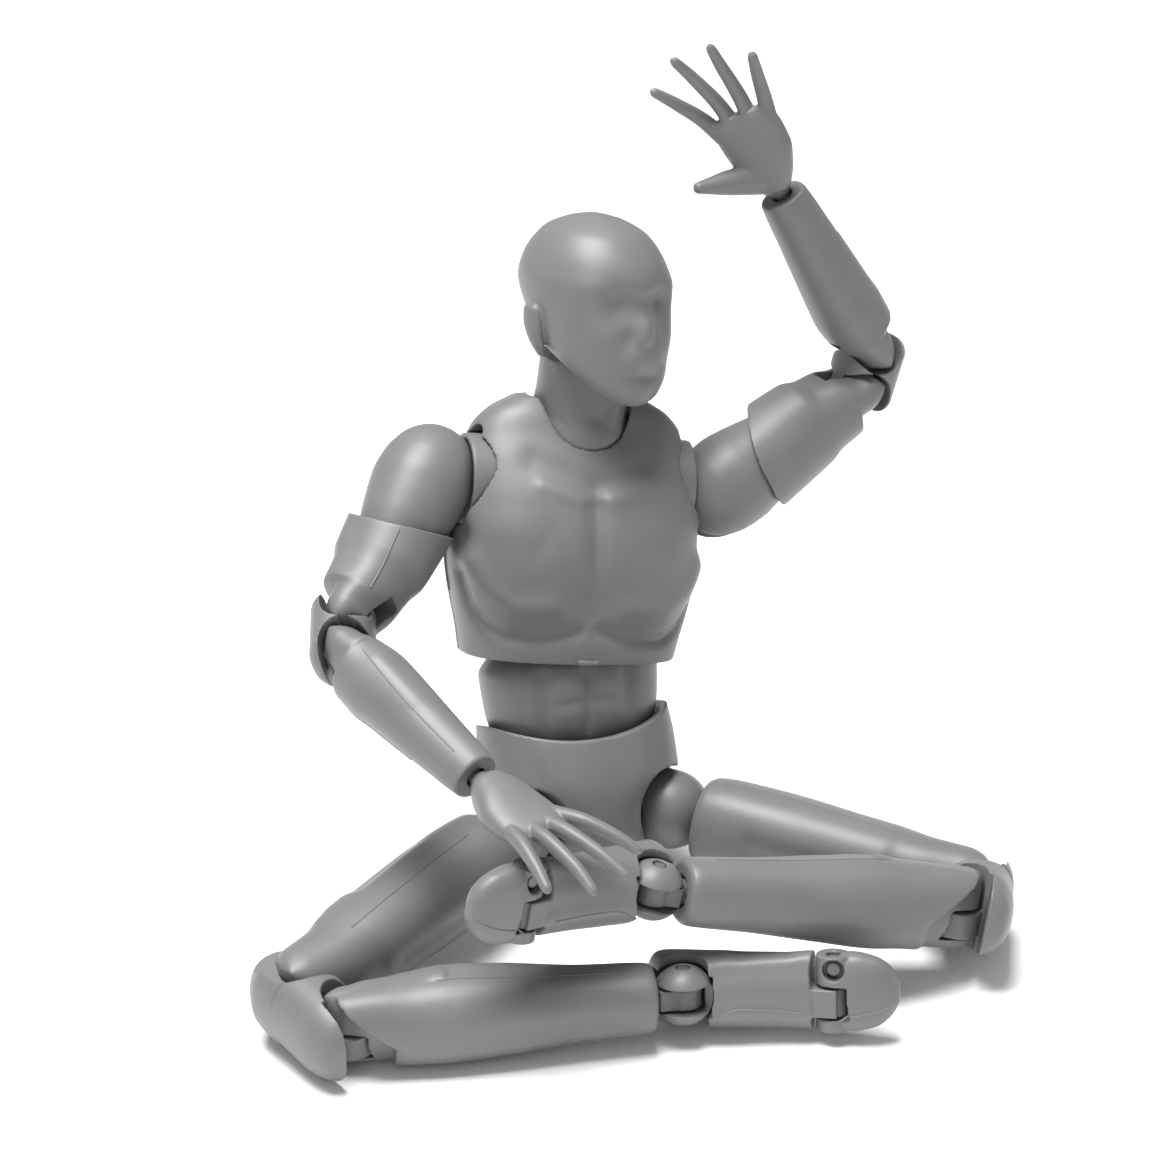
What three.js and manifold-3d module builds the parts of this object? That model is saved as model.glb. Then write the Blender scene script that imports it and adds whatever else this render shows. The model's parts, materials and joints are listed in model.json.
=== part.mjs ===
// Articulated drawing mannequin: a moulded grey plastic body figure, 150 mm tall when it
// stands, posed as it sits in the photograph, cross-legged with one arm raised.
// Millimetres, +Z up. The figure faces -Y, so its own right side lies towards -X.
// Every piece is shaped in a neutral frame of its own, with the limb hanging along -Z, and is
// then placed by a chain of joints.

import * as THREE from 'three';
import { mergeVertices } from 'three/addons/utils/BufferGeometryUtils.js';
import Module from 'manifold-3d';

const wasm = await Module();
wasm.setup();

// Clearances
const gap = 0.3; // between two surfaces that slide on each other
const seamGap = 0.15; // between two shells that are glued together
const armholeGap = 0.5; // between a shoulder disc and its armhole

// Trunk: heights of each joint above the one below it
const waistRise = 9;
const chestRise = 10;
const neckRise = 23.2;
const headRise = 8.6;

// Pelvis
const hipHalf = 8.7;
const pelvisHalfWidth = 11;
const waistSetback = 2.6; // the waist joint lies this far behind the hips
const waistbandHalfWidth = 10.7;
const waistbandDip = 22; // radius of the dip in the waistband
const hipBallRadius = 4.4;
const hipPostRadius = 1.1;
const hipPostLength = 7.4;
const tongueHalf = 0.95; // half the thickness of a shoulder or hip tongue
const tongueRadius = 2.3;
const thighPegRadius = 1.5;
const thighPegLength = 9.5;
const waistBallRadius = 3;
const waistPegRadius = 1.4;
const waistPegLength = 7;

// Chest, neck and head
const chestHalfWidth = 14.3;
const chestDepthFront = 9;
const chestDepthBack = 8.3;
const chestSeam = 0.5; // the parting of the two shells, behind the middle
const chestBallRadius = 2.8;
const chestPostRadius = 2.1;
const neckBallRadius = 2.5;
const neckStemRadius = 1.2;
const neckStemLength = 9;
const neckBibRadius = 6;
const neckRadius = 4.7;
const headBallRadius = 2.6;
const headHalfWidth = 7.7;
const headHeight = 16.4; // from the head joint to the crown

// Arms
const shoulderRise = 18.2;
const shoulderHalf = 7.6;
const shoulderReach = 9.3; // from the shoulder block's hinge to the middle of the deltoid
const blockRadius = 2;
const blockRise = 1.6;
const blockDrop = 3;
const discRadius = 4.8;
const discInner = 1.9; // from the block's hinge to the near face of its disc
const discThickness = 1.6;
const swivelRadius = 1.1;
const deltoidRadius = 5.4;
const deltoidLength = 9.5; // from its middle to its lower end
const armPegRadius = 1.6;
const armPegLength = 3.4;
const upperArmLength = 18.8;
const upperArmRadius = 4.9;
const armCuff = 3.4; // from the deltoid's middle down to the high side of the arm's cuff
const armCuffSlope = 0.6;
const elbowGap = 5.4;
const elbowEar = 2.5;
const elbowHalfWidth = 4.3;
const elbowTongueHalf = 1.1;
const elbowCap = 4.3; // outer radius of the elbow's cap about its pins
const elbowCapRise = 3.2; // how far the cap reaches beyond each pin
const forearmLength = 22.5;
const forearmRadius = 3.7;
const wristRadius = 2.5;
const wristBallRadius = 1.3;
const wristPegRadius = 0.8;
const wristPegLength = 4.6;
const wristSetback = 1.1; // from the end of the forearm to the wrist joint
const handLength = 19;

// Legs
const thighLength = 34;
const thighRadius = 5;
const thighTop = 4.7; // from the hip joint down to the thigh's rim
const hipBallDrop = 0.7; // how far the hip ball is drawn out towards the thigh
const kneeGap = 6.8;
const kneeEar = 3.2;
const kneeHalfWidth = 4.5;
const kneeTongueHalf = 1.4;
const kneeCap = 6; // outer radius of the knee cap about its pins
const kneeCapRise = 3.6; // how far the cap reaches beyond each pin
const kneeTongueShift = 1.3; // the tongue lies this far to the outer side
const kneeNotch = 1; // from the middle to the notch in the knee cap's inner side
const kneeNotchTop = 1.8; // how far that notch reaches above the lower pin
const shinLength = 34.5;
const calfRadius = 4.8;
const ankleRadius = 3.4;
const ankleSetback = 3; // from the end of the shin to the ankle joint
const ankleBallRadius = 3.2;
const ankleTongueHalf = 1.1;
const ankleTongueRadius = 1.9;
const anklePegRadius = 1.3;
const anklePegLength = 7;
const footHalfWidth = 4.1;
const soleDrop = 5.5;
const heelLength = 4.6;
const toeHinge = 15; // from the ankle forward to the toe's hinge
const toeHingeDrop = 3.6; // from the ankle down to the toe's hinge
const toeLength = 6.8;
const toeEar = 1.8;
const toeTongueHalf = 1.5;

// Pins
const pinRadius = 0.7;
const pinFit = 0.2;
const smallPinRadius = 0.55;

// The pose at rest, in degrees. Turns about the long axis and raises are counted so that the
// same number moves both sides alike.
const pose = {
  lean: -24, tilt: 2, waistTurn: -2, waistBend: 4, chestLean: 8, chestBend: 5,
  neckTurn: 0, neckBend: 11, headTurn: 20, headNod: -5,
  right: {
    shoulder: 0, swing: -32, raise: 30, armTurn: 60, elbowUpper: -24, elbowLower: -39,
    wristTurn: 25, handBend: 6,
    hipBend: -52, hipSpread: 57, thighTurn: -97, kneeUpper: 75, kneeLower: 61,
    ankleTurn: 18, ankleBend: 69, footRoll: 3, toeBend: 0,
  },
  left: {
    shoulder: 5, swing: -13, raise: 128, armTurn: -63, elbowUpper: -43, elbowLower: -50,
    wristTurn: -39, handBend: 0,
    hipBend: -62, hipSpread: 46, thighTurn: -107, kneeUpper: 74, kneeLower: 65,
    ankleTurn: -10, ankleBend: 64, footRoll: 5, toeBend: 0,
  },
};

// Materials: every piece is neutral grey moulded plastic, the hidden posts and pins a shade darker
const plastic = new THREE.MeshStandardMaterial({ color: 0x8f8f8f, roughness: 0.5, metalness: 0 });
const innerPlastic = new THREE.MeshStandardMaterial({ color: 0x7c7c7c, roughness: 0.55, metalness: 0 });
const pinPlastic = new THREE.MeshStandardMaterial({ color: 0x6e6e6e, roughness: 0.5, metalness: 0 });

// Solids: how many sides round sections have, and how far cuts reach
const sides = 12;
const shortestEdge = 0.01;
const boreSides = 10;
const pinSides = 8;
const far = 40; // cuts run out past every piece by this
const ballSides = 16; // balls that show, and their cups
const trunkSides = 18;
const waistbandSides = 40;

function solid(geometry) {
  const bare = new THREE.BufferGeometry();
  bare.setAttribute('position', geometry.getAttribute('position'));
  bare.setIndex(geometry.getIndex());
  const merged = mergeVertices(bare, 1e-4);
  return new wasm.Manifold(new wasm.Mesh({
    numProp: 3,
    vertProperties: new Float32Array(merged.getAttribute('position').array),
    triVerts: new Uint32Array(merged.getIndex().array),
  }));
}

// A closed skin over rings of points that all hold as many points
function skin(rings) {
  const count = rings[0].length;
  const points = rings.flat();
  const first = points.length;
  const last = first + 1;
  const middle = ring => ring.reduce((sum, p) => sum.add(p), new THREE.Vector3()).divideScalar(count);
  points.push(middle(rings[0]), middle(rings[rings.length - 1]));
  const faces = [];
  for (let r = 0; r < rings.length - 1; r++) {
    for (let i = 0; i < count; i++) {
      const a = r * count + i;
      const b = r * count + (i + 1) % count;
      faces.push(a, b, b + count, a, b + count, a + count);
    }
  }
  const top = (rings.length - 1) * count;
  for (let i = 0; i < count; i++) {
    const next = (i + 1) % count;
    faces.push(first, next, i);
    faces.push(last, top + i, top + next);
  }
  const geometry = new THREE.BufferGeometry().setFromPoints(points);
  geometry.setIndex(faces);
  return geometry;
}

// A limb, trunk or skull: oval sections at heights z, each with a half width, a reach to the
// front and a reach to the back. Sections go upwards; fullness squares them.
function limb(stations, fullness = 2, count = sides) {
  const power = 2 / fullness;
  const bow = value => Math.sign(value) * Math.abs(value) ** power;
  const sorted = [...stations].sort((a, b) => a[0] - b[0]);
  return solid(skin(sorted.map(([z, half, front, back, shift = 0]) => {
    const ring = [];
    for (let i = 0; i < count; i++) {
      const angle = (i / count) * 2 * Math.PI;
      const x = shift + half * bow(Math.cos(angle));
      const y = (back - front) / 2 + ((back + front) / 2) * bow(Math.sin(angle));
      ring.push(new THREE.Vector3(x, y, z));
    }
    return ring;
  })));
}

// A finger: round sections along a bent line, closed by a small blunt tip
function finger(points, radii, count = 7) {
  const line = points.map(point => new THREE.Vector3(...point));
  const rings = line.map((point, i) => {
    const ahead = line[Math.min(i + 1, line.length - 1)];
    const behind = line[Math.max(i - 1, 0)];
    const along = ahead.clone().sub(behind).normalize();
    const across = new THREE.Vector3(1, 0, 0).cross(along).normalize();
    const other = along.clone().cross(across);
    const ring = [];
    for (let k = 0; k < count; k++) {
      const angle = (k / count) * 2 * Math.PI;
      ring.push(point.clone()
        .addScaledVector(across, radii[i] * Math.cos(angle))
        .addScaledVector(other, radii[i] * Math.sin(angle)));
    }
    return ring;
  });
  return solid(skin(rings));
}

// A round bar along one axis, between two distances, beside a point
function rod(axis, radius, from, to, [x, y, z] = [0, 0, 0], count = sides, endRadius = radius) {
  const low = Math.min(from, to);
  const high = Math.max(from, to);
  const lowRadius = from < to ? radius : endRadius;
  const highRadius = from < to ? endRadius : radius;
  const geometry = new THREE.CylinderGeometry(highRadius, lowRadius, high - low, count);
  geometry.translate(0, (high + low) / 2, 0);
  if (axis === 'x') geometry.rotateZ(-Math.PI / 2);
  if (axis === 'z') geometry.rotateX(Math.PI / 2);
  geometry.translate(x, y, z);
  return solid(geometry);
}

function ball(radius, [x, y, z] = [0, 0, 0], count = sides) {
  const geometry = new THREE.SphereGeometry(radius, count, Math.round(count * 0.625));
  geometry.rotateX(Math.PI / 2);
  geometry.translate(x, y, z);
  return solid(geometry);
}

function slab([x0, x1], [y0, y1], [z0, z1]) {
  const geometry = new THREE.BoxGeometry(Math.abs(x1 - x0), y1 - y0, z1 - z0);
  geometry.translate((x0 + x1) / 2, (y0 + y1) / 2, (z0 + z1) / 2);
  return solid(geometry);
}

// A solid of revolution about Z from a half profile of [radius, z] pairs, from the top down
function turned(profile, count = sides) {
  const points = profile.map(([radius, z]) => new THREE.Vector2(radius, z)).reverse();
  const geometry = new THREE.LatheGeometry(points, count);
  geometry.rotateX(Math.PI / 2);
  return solid(geometry);
}

// A wedge of a disc about Y, between two angles counted from the inner side over the top
function fan(side, radius, fromDegrees, toDegrees, half) {
  const from = THREE.MathUtils.degToRad(180 - toDegrees);
  const to = THREE.MathUtils.degToRad(180 - fromDegrees);
  const shape = new THREE.Shape();
  shape.moveTo(0, 0);
  shape.lineTo(radius * Math.cos(from), radius * Math.sin(from));
  shape.absarc(0, 0, radius, from, to, false);
  shape.closePath();
  const settings = { depth: 2 * half, bevelEnabled: false, curveSegments: 8 };
  const geometry = new THREE.ExtrudeGeometry(shape, settings);
  geometry.translate(0, 0, -half);
  geometry.rotateX(Math.PI / 2);
  const wedge = solid(geometry);
  return side > 0 ? wedge : wedge.mirror([1, 0, 0]);
}

const join = (first, ...rest) => rest.reduce((sum, piece) => sum.add(piece), first);
const cut = (body, ...tools) => tools.reduce((rest, tool) => rest.subtract(tool), body);

// Scene graph
function addPiece(parent, name, body, material = plastic) {
  const { vertProperties, triVerts } = body.simplify(shortestEdge).getMesh();
  const raw = new THREE.BufferGeometry();
  raw.setAttribute('position', new THREE.BufferAttribute(vertProperties, 3));
  raw.setIndex([...triVerts]);
  const geometry = mergeVertices(raw, shortestEdge / 10);
  const corners = [...geometry.getIndex().array];
  const faces = [];
  for (let i = 0; i < corners.length; i += 3) {
    const [a, b, c] = corners.slice(i, i + 3);
    if (a !== b && b !== c && c !== a) faces.push(a, b, c);
  }
  geometry.setIndex(faces);
  geometry.computeVertexNormals();
  const mesh = new THREE.Mesh(geometry, material.clone());
  mesh.name = name;
  parent.add(mesh);
  return mesh;
}

// A joint: a frame at a point of its parent, turned about one axis of its own
function addJoint(parent, name, at, axis, degrees) {
  const frame = new THREE.Group();
  frame.name = `${name}_joint`;
  frame.userData.axis = axis;
  frame.position.set(...at);
  frame.rotation[axis] = THREE.MathUtils.degToRad(degrees);
  parent.add(frame);
  return frame;
}

// Pelvis: the briefs-shaped block that the legs and the waist hang on
function makePelvis() {
  const rim = waistRise + 3.2;
  const back = waistSetback;
  const block = limb([
    [-6.6, 2.6, 2.2, 7.4],
    [-5, 4.4, 3.8, 9],
    [-2, 7.8, 5.4, 10],
    [3.5, pelvisHalfWidth, 6.6, 10.4],
    [8, waistbandHalfWidth + 0.3, 6, 10],
    [rim, waistbandHalfWidth, 7.6 - back, 7.2 + back],
  ], 2.3, trunkSides);
  const pit = limb([
    [waistRise - 3.6, 6.2, 4.2 - back, 3.8 + back],
    [waistRise - 0.5, waistbandHalfWidth - 0.9, 6.6 - back, 6.2 + back],
    [rim + 1, waistbandHalfWidth - 0.6, 7 - back, 6.6 + back],
  ], 2.3, trunkSides);
  const dip = rod('y', waistbandDip, -far, far, [0, 0, waistRise + waistbandDip], waistbandSides);
  const pegBore = rod('z', waistPegRadius + gap, waistRise - waistPegLength - gap, waistRise, [0, back, 0]);
  let body = cut(block, pit, dip, pegBore);
  for (const side of [-1, 1]) {
    const hip = [side * hipHalf, 0, 0];
    const cup = ball(hipBallRadius + gap, hip, ballSides);
    const legHole = rod('y', hipBallRadius + gap, -far, 0, hip, ballSides);
    const outside = rod('x', hipBallRadius + gap, 0, side * far, hip, ballSides);
    const postBore = rod('x', hipPostRadius + gap, 0, -side * (hipPostLength + gap), hip);
    body = cut(body, cup, legHole, outside, postBore);
  }
  return body;
}

// Waist ball: turns in the pelvis on its peg and carries the abdomen
function makeWaistBall() {
  return join(ball(waistBallRadius), rod('z', waistPegRadius, -waistPegLength, 0));
}

// Abdomen: a flattened barrel whose narrow ends sit inside the pelvis and the chest
function makeAbdomen() {
  const barrel = limb([
    [-2.2, 5.6, 3.6, 3.2],
    [0, 8.2, 5.6, 5.2],
    [2, 9.3, 6.4, 6],
    [4, 9.7, 6.8, 6.3],
    [chestRise - 2, 10, 6.9, 6.3],
    [chestRise - 0.4, 9, 6.2, 5.6],
    [chestRise + 1.4, 6.6, 4.4, 4],
  ], 2.3, trunkSides);
  return cut(
    barrel,
    ball(waistBallRadius + gap),
    rod('z', waistBallRadius - 0.4, -waistBallRadius - 1, 0),
    ball(chestBallRadius + gap, [0, 0, chestRise]),
    rod('z', chestPostRadius + 1.2, chestRise + 1, chestRise + 3),
  );
}

// Chest ball: a ball in the top of the abdomen with a short stem in the chest
function makeChestBall() {
  return join(ball(chestBallRadius), rod('z', 0.8, 0, chestBallRadius + 2));
}

// Chest: two shells that meet at the sides, with the armholes, the collar and the hollow
// that takes the abdomen
function makeChest() {
  const trunk = limb([
    [-0.6, 12, 8, 7.4],
    [2, 12.5, 8.4, 7.6],
    [6, 13.5, 8.7, 8],
    [10, chestHalfWidth - 0.1, chestDepthFront, 8.2],
    [13, chestHalfWidth, chestDepthFront - 0.1, chestDepthBack],
    [17, 13.7, 8, 8.1],
    [21, 12.8, 6.1, 7.4],
    [24, 11.4, 4.2, 6.4],
    [26, 9.4, 3.2, 5.2],
    [27.6, 6.6, 2.2, 4.2],
  ], 2.5, trunkSides);
  const hollow = cut(
    limb([
      [-2, 10.8, 7.5, 6.9],
      [0.6, 10.4, 7.2, 6.6],
      [3.4, 8.2, 5.8, 5.4],
    ], 2.3, trunkSides),
    rod('z', chestPostRadius, chestBallRadius - 0.8, 4),
  );
  const collar = [0, 1, neckRise];
  let body = cut(
    trunk,
    hollow,
    ball(chestBallRadius + gap),
    rod('z', 1.3, 0, chestBallRadius + 2 + gap, [0, 0, 0], sides, 2.3),
    ball(neckBibRadius + gap, collar, ballSides),
    rod('z', neckBibRadius + gap, neckRise, far, [0, 0.5, 0], ballSides),
    rod('z', neckStemRadius + gap, neckRise - neckStemLength - gap, neckRise, [0, 1, 0]),
  );
  for (const side of [-1, 1]) {
    const hinge = [side * shoulderHalf, chestSeam, shoulderRise];
    const armhole = rod('x', discRadius + armholeGap, side * 0.4, side * far, hinge, ballSides);
    const barrel = rod('z', blockRadius + gap, -blockDrop - gap, blockRise + gap, hinge);
    body = cut(body, armhole, barrel);
  }
  const front = slab([-far, far], [-far, chestSeam - seamGap / 2], [-far, far]);
  const back = slab([-far, far], [chestSeam + seamGap / 2, far], [-far, far]);
  return { front: body.intersect(front), back: body.intersect(back) };
}

// Neck: a column that swells into a ball-shaped bib inside the collar
function makeNeckBall() {
  return join(ball(neckBallRadius), rod('z', neckStemRadius, -neckStemLength, 0));
}

function makeNeck() {
  const column = limb([
    [0, neckRadius + 1.2, neckRadius + 1.2, neckRadius + 1.2],
    [3, neckRadius + 0.5, neckRadius + 0.3, neckRadius + 0.5],
    [6, neckRadius, neckRadius - 0.1, neckRadius + 0.2],
    [headRise + 0.6, neckRadius - 0.2, neckRadius - 0.3, neckRadius - 0.1],
  ]);
  return cut(
    join(ball(neckBibRadius, [0, 0, 0], ballSides), column),
    ball(neckBallRadius + gap),
    rod('z', neckStemRadius + 0.7, -2, -neckBibRadius - 1, [0, 0, 0], sides, neckStemRadius + 3),
    ball(headBallRadius + gap, [0, -1, headRise]),
  );
}

function makeHeadBall() {
  return join(ball(headBallRadius), rod('z', 1.2, 0, headBallRadius + 2.4));
}

// Head: an egg with a blank face, a low nose and ears
function makeHead() {
  const w = headHalfWidth;
  const h = headHeight;
  const skull = limb([
    [-2.7, 1.8, 9, -6.4],
    [-1.8, 3.5, 9.7, -4.4],
    [0.2, 5.2, 9.9, -0.6],
    [2.6, 6.4, 9.8, 4.6],
    [6, w - 0.5, 9.6, 7.6],
    [9.4, w, 9.4, 9],
    [h - 5, w - 0.5, 8.4, 8.6],
    [h - 2, w - 2.4, 6, 6.6],
    [h - 0.5, w - 5, 3, 3.6],
    [h, w - 7, 0.9, 1.3],
  ], 2.1, trunkSides);
  const nose = limb([[3.4, 0.9, 10.6, -8], [4.6, 1.2, 10.9, -8], [8, 0.5, 9.7, -8]], 2, 8);
  let body = join(skull, nose);
  for (const side of [-1, 1]) {
    const ear = limb([
      [1.4, 0.5, 0.4, 0.9, side * (w - 1.2)],
      [2.8, 0.8, 1, 1.8, side * (w - 0.7)],
      [5.8, 0.9, 0.8, 2.4, side * (w - 0.2)],
      [6.8, 0.5, 0.2, 1.6, side * (w - 0.2)],
    ], 2, 8);
    body = join(body, ear);
  }
  return cut(
    body,
    rod('z', neckRadius + 0.9, 0.9, -4, [0, 1, 0], sides, neckRadius + 1.8),
    ball(headBallRadius + gap),
    rod('z', 1.2 + gap, 0, headBallRadius + 2.4 + gap, [0, 0, 0], sides, 2.9),
  );
}

// Shoulder block: a hinge barrel inside the chest and the round disc that fills the armhole
function makeShoulderBlock(side) {
  const far = side * (discInner + discThickness);
  const body = join(
    rod('z', blockRadius, -blockDrop, blockRise),
    rod('x', blockRadius - 0.4, 0, side * discInner),
    rod('x', discRadius, side * discInner, far, [0, 0, 0], ballSides),
  );
  return cut(body, rod('x', swivelRadius + gap, 0, far + side));
}

// Shoulder swivel: a peg in the block's disc and a flat round tongue inside the deltoid
function makeShoulderSwivel(side) {
  return cut(
    join(
      rod('x', swivelRadius, -side * (shoulderReach - 0.8), -side * 1.6),
      rod('y', tongueRadius, -tongueHalf, tongueHalf),
    ),
    rod('y', smallPinRadius + pinFit, -2, 2, [0, 0, 0], 8),
  );
}

const deltoidProfile = grow => [
  [0, deltoidRadius + grow + 0.1],
  [2.6 + grow, deltoidRadius - 0.5 + grow],
  [4.4 + grow, 3.3 + grow / 2],
  [deltoidRadius - 0.1 + grow, 1.2],
  [deltoidRadius + grow, -0.8],
  [deltoidRadius - 0.1 + grow, -2.4],
  [4.5 + grow, -4],
  [4.1 + grow, -6.2],
  [3.3 + grow, -deltoidLength - grow],
  [0, -deltoidLength - grow],
];

// Deltoid: an egg with a slot for the tongue, from the inner side over the top, and a peg for
// the upper arm
function makeDeltoid(side) {
  return cut(
    join(
      turned(deltoidProfile(0), ballSides),
      rod('z', armPegRadius, -deltoidLength - armPegLength, -deltoidLength + 1),
    ),
    fan(side, deltoidRadius + 2, -28, 168, tongueHalf + gap + 0.15),
    rod('y', tongueRadius + gap, -tongueHalf - gap - 0.15, tongueHalf + gap + 0.15),
    rod('y', smallPinRadius + pinFit, -3.8, 3.8, [0, 0, 0], 8),
  );
}

// Upper arm: a cuff over the deltoid's lower end, cut higher on the inner side, and a fork
function makeUpperArm(side) {
  const elbow = -upperArmLength;
  const recess = elbow + elbowCapRise + gap;
  const shaft = limb([
    [-armCuff, upperArmRadius, upperArmRadius, upperArmRadius],
    [-7, upperArmRadius, upperArmRadius, upperArmRadius],
    [-11, upperArmRadius - 0.4, upperArmRadius - 0.1, upperArmRadius],
    [recess + 0.1, elbowHalfWidth + 0.3, elbowHalfWidth + 0.2, elbowHalfWidth + 0.4],
    [recess, elbowHalfWidth + 0.3, elbowHalfWidth + 0.2, elbowEar - 0.1],
    [elbow + 1.3, elbowHalfWidth, elbowHalfWidth - 0.4, elbowEar - 0.1],
    [elbow + 1.2, elbowHalfWidth, elbowEar - 0.1, elbowEar - 0.1],
    [elbow, elbowHalfWidth, elbowEar - 0.1, elbowEar - 0.1],
  ]);
  const above = new THREE.BoxGeometry(far, far, far);
  above.translate(0, 0, far / 2);
  above.rotateY(side * Math.atan(armCuffSlope));
  above.translate(0, 0, -armCuff - armCuffSlope * upperArmRadius);
  return cut(
    join(shaft, rod('x', elbowEar, -elbowHalfWidth, elbowHalfWidth, [0, 0, elbow])),
    solid(above),
    turned(deltoidProfile(gap), ballSides),
    rod('z', armPegRadius + gap, -deltoidLength - armPegLength - gap, -deltoidLength),
    rod('x', elbowEar + gap, -elbowTongueHalf - gap, elbowTongueHalf + gap, [0, 0, elbow]),
    slab([-elbowTongueHalf - gap, elbowTongueHalf + gap], [-far, far], [elbow - far, elbow]),
    slab([-elbowTongueHalf - gap, elbowTongueHalf + gap], [-far, 0], [elbow, elbow + elbowEar + gap]),
    rod('x', pinRadius + pinFit, -far, far, [0, 0, elbow], boreSides),
  );
}

// A double hinge: a flat tongue with a pin bore at each end, and a cap over one side of both
// pins. The cap faces the back on an elbow and the front on a knee, and reaches beyond the pins.
function makeDoubleHinge({ facing, span, ear, cap, rise, half, tongueHalf, shift }) {
  const stations = [];
  for (const [pin, way] of [[0, 1], [-span, -1]]) {
    stations.push(
      [pin + way * rise, half - 1.1, cap - 1],
      [pin + way * rise * 0.6, half - 0.3, cap - 0.2],
      [pin, half, cap],
    );
  }
  const face = (z, x, out) => (facing > 0 ? [z, x, ear * 0.7, out] : [z, x, out, ear * 0.7]);
  const from = distance => (facing > 0 ? [-far, distance] : [-distance, far]);
  let body = limb(stations.map(([z, x, out]) => face(z, x, out)), 2.4);
  const tongue = [shift - tongueHalf, shift + tongueHalf];
  for (const [edge, outside] of [[tongue[0], -far], [tongue[1], far]]) {
    for (const pin of [0, -span]) {
      body = cut(body, rod('x', ear + gap, edge, outside, [0, 0, pin], ballSides));
    }
    body = cut(body, slab([edge, outside], from(ear * 0.3), [-far, far]));
  }
  for (const [low, high] of [[0, far], [-far, -span]]) {
    body = cut(body, slab([-far, far], from(ear + gap), [low, high]));
  }
  body = join(
    body,
    rod('x', ear - 0.1, ...tongue),
    rod('x', ear - 0.1, ...tongue, [0, 0, -span]),
    slab(tongue, [-ear + 0.1, ear - 0.1], [-span, 0]),
  );
  return cut(
    body,
    rod('x', pinRadius + pinFit, -far, far, [0, 0, 0], boreSides),
    rod('x', pinRadius + pinFit, -far, far, [0, 0, -span], boreSides),
  );
}

const makeElbow = () => makeDoubleHinge({
  facing: 1, span: elbowGap, ear: elbowEar, cap: elbowCap, rise: elbowCapRise,
  half: elbowHalfWidth, tongueHalf: elbowTongueHalf, shift: 0,
});

// Knee: its cap is notched at the lower inner corner, where the shin's boss goes in
function makeKnee(side) {
  const body = makeDoubleHinge({
    facing: -1, span: kneeGap, ear: kneeEar, cap: kneeCap, rise: kneeCapRise,
    half: kneeHalfWidth, tongueHalf: kneeTongueHalf, shift: side * kneeTongueShift,
  });
  const inner = [-side * kneeNotch, -side * far];
  return cut(body, slab(inner, [-far, -kneeEar], [-far, kneeNotchTop - kneeGap]));
}

// Forearm: a fork at the elbow, tapering to the wrist
function makeForearm() {
  const wrist = -forearmLength;
  const recess = -elbowCapRise - gap;
  const shaft = limb([
    [0, elbowHalfWidth - 0.2, elbowEar - 0.1, elbowEar - 0.1],
    [-1.2, elbowHalfWidth - 0.2, elbowEar - 0.1, elbowEar - 0.1],
    [-1.9, elbowHalfWidth - 0.1, forearmRadius - 0.6, elbowEar - 0.1],
    [recess, forearmRadius + 0.1, forearmRadius - 0.2, elbowEar - 0.1],
    [recess - 0.1, forearmRadius + 0.1, forearmRadius - 0.2, forearmRadius],
    [-5, forearmRadius, forearmRadius - 0.1, forearmRadius],
    [-9, forearmRadius - 0.1, forearmRadius - 0.2, forearmRadius - 0.1],
    [-15, wristRadius + 0.5, wristRadius + 0.6, wristRadius + 0.6],
    [wrist + wristSetback, wristRadius - 0.1, wristRadius, wristRadius],
  ]);
  return cut(
    join(shaft, rod('x', elbowEar, -elbowHalfWidth + 0.2, elbowHalfWidth - 0.2)),
    rod('x', elbowEar + gap, -elbowTongueHalf - gap, elbowTongueHalf + gap),
    slab([-elbowTongueHalf - gap, elbowTongueHalf + gap], [-far, far], [0, far]),
    slab([-elbowTongueHalf - gap, elbowTongueHalf + gap], [-far, 0], [-elbowEar - gap, 0]),
    rod('x', pinRadius + pinFit, -far, far, [0, 0, 0], boreSides),
    rod('z', wristPegRadius + gap, wrist, wrist + wristPegLength + gap),
  );
}

function makeWristPeg() {
  return join(ball(wristBallRadius), rod('z', wristPegRadius, 0, wristPegLength));
}

// Hand: a thin palm, four spread fingers and a thumb. The palm faces the body, so fingers
// spread along Y with the forefinger to the front.
function makeHand(side) {
  const stretch = handLength / 19;
  const at = (along, across, inward) => [-side * inward, -across, -along * stretch];
  const palm = limb([
    [0.3, 1.3, 1.4, 1.4],
    [-1, 2, 2.2, 2.1],
    [-2.6, 1.9, 2.7, 2.6],
    [-5, 1.7, 3.2, 3.5],
    [-7.4, 1.5, 3.4, 3.9],
    [-9.4, 1.2, 3.4, 3.7],
    [-10.2, 0.7, 3.1, 3.2],
  ].map(([z, ...rest]) => [z * stretch, ...rest]), 2.4);
  const digits = [
    [at(7.6, 2.5, 0), at(11, 4.1, -0.2), at(14, 5.5, 0.2), at(16.2, 6.4, 0.7)],
    [at(7.6, 0.9, 0), at(12, 1.7, -0.3), at(16, 2.4, 0.1), at(18.8, 2.9, 0.7)],
    [at(7.6, -0.9, 0), at(12, -1, -0.3), at(16, -1.1, 0.1), at(18.6, -1.2, 0.7)],
    [at(7, -2.6, 0), at(10.6, -3.5, -0.1), at(13.6, -4.3, 0.2), at(15.7, -4.9, 0.6)],
  ].map(points => finger(points, [1.05, 0.95, 0.8, 0.5]));
  const thumb = finger(
    [at(2, 1.2, 0.6), at(3.6, 3.6, 2), at(5, 5.4, 3.6), at(6, 6.6, 4.8)],
    [1.3, 1.2, 0.95, 0.55],
  );
  return cut(
    join(palm, ...digits, thumb),
    ball(wristBallRadius + gap),
    rod('z', wristPegRadius + gap + 0.1, 0, 4, [0, 0, 0], 12, wristPegRadius + 2.4),
  );
}

// Hip post: a peg in the pelvis and a flat round tongue inside the hip ball
function makeHipPost(side) {
  return join(
    rod('x', hipPostRadius, -side * hipPostLength, -side * 1.6),
    rod('y', tongueRadius, -tongueHalf, tongueHalf),
  );
}

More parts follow.
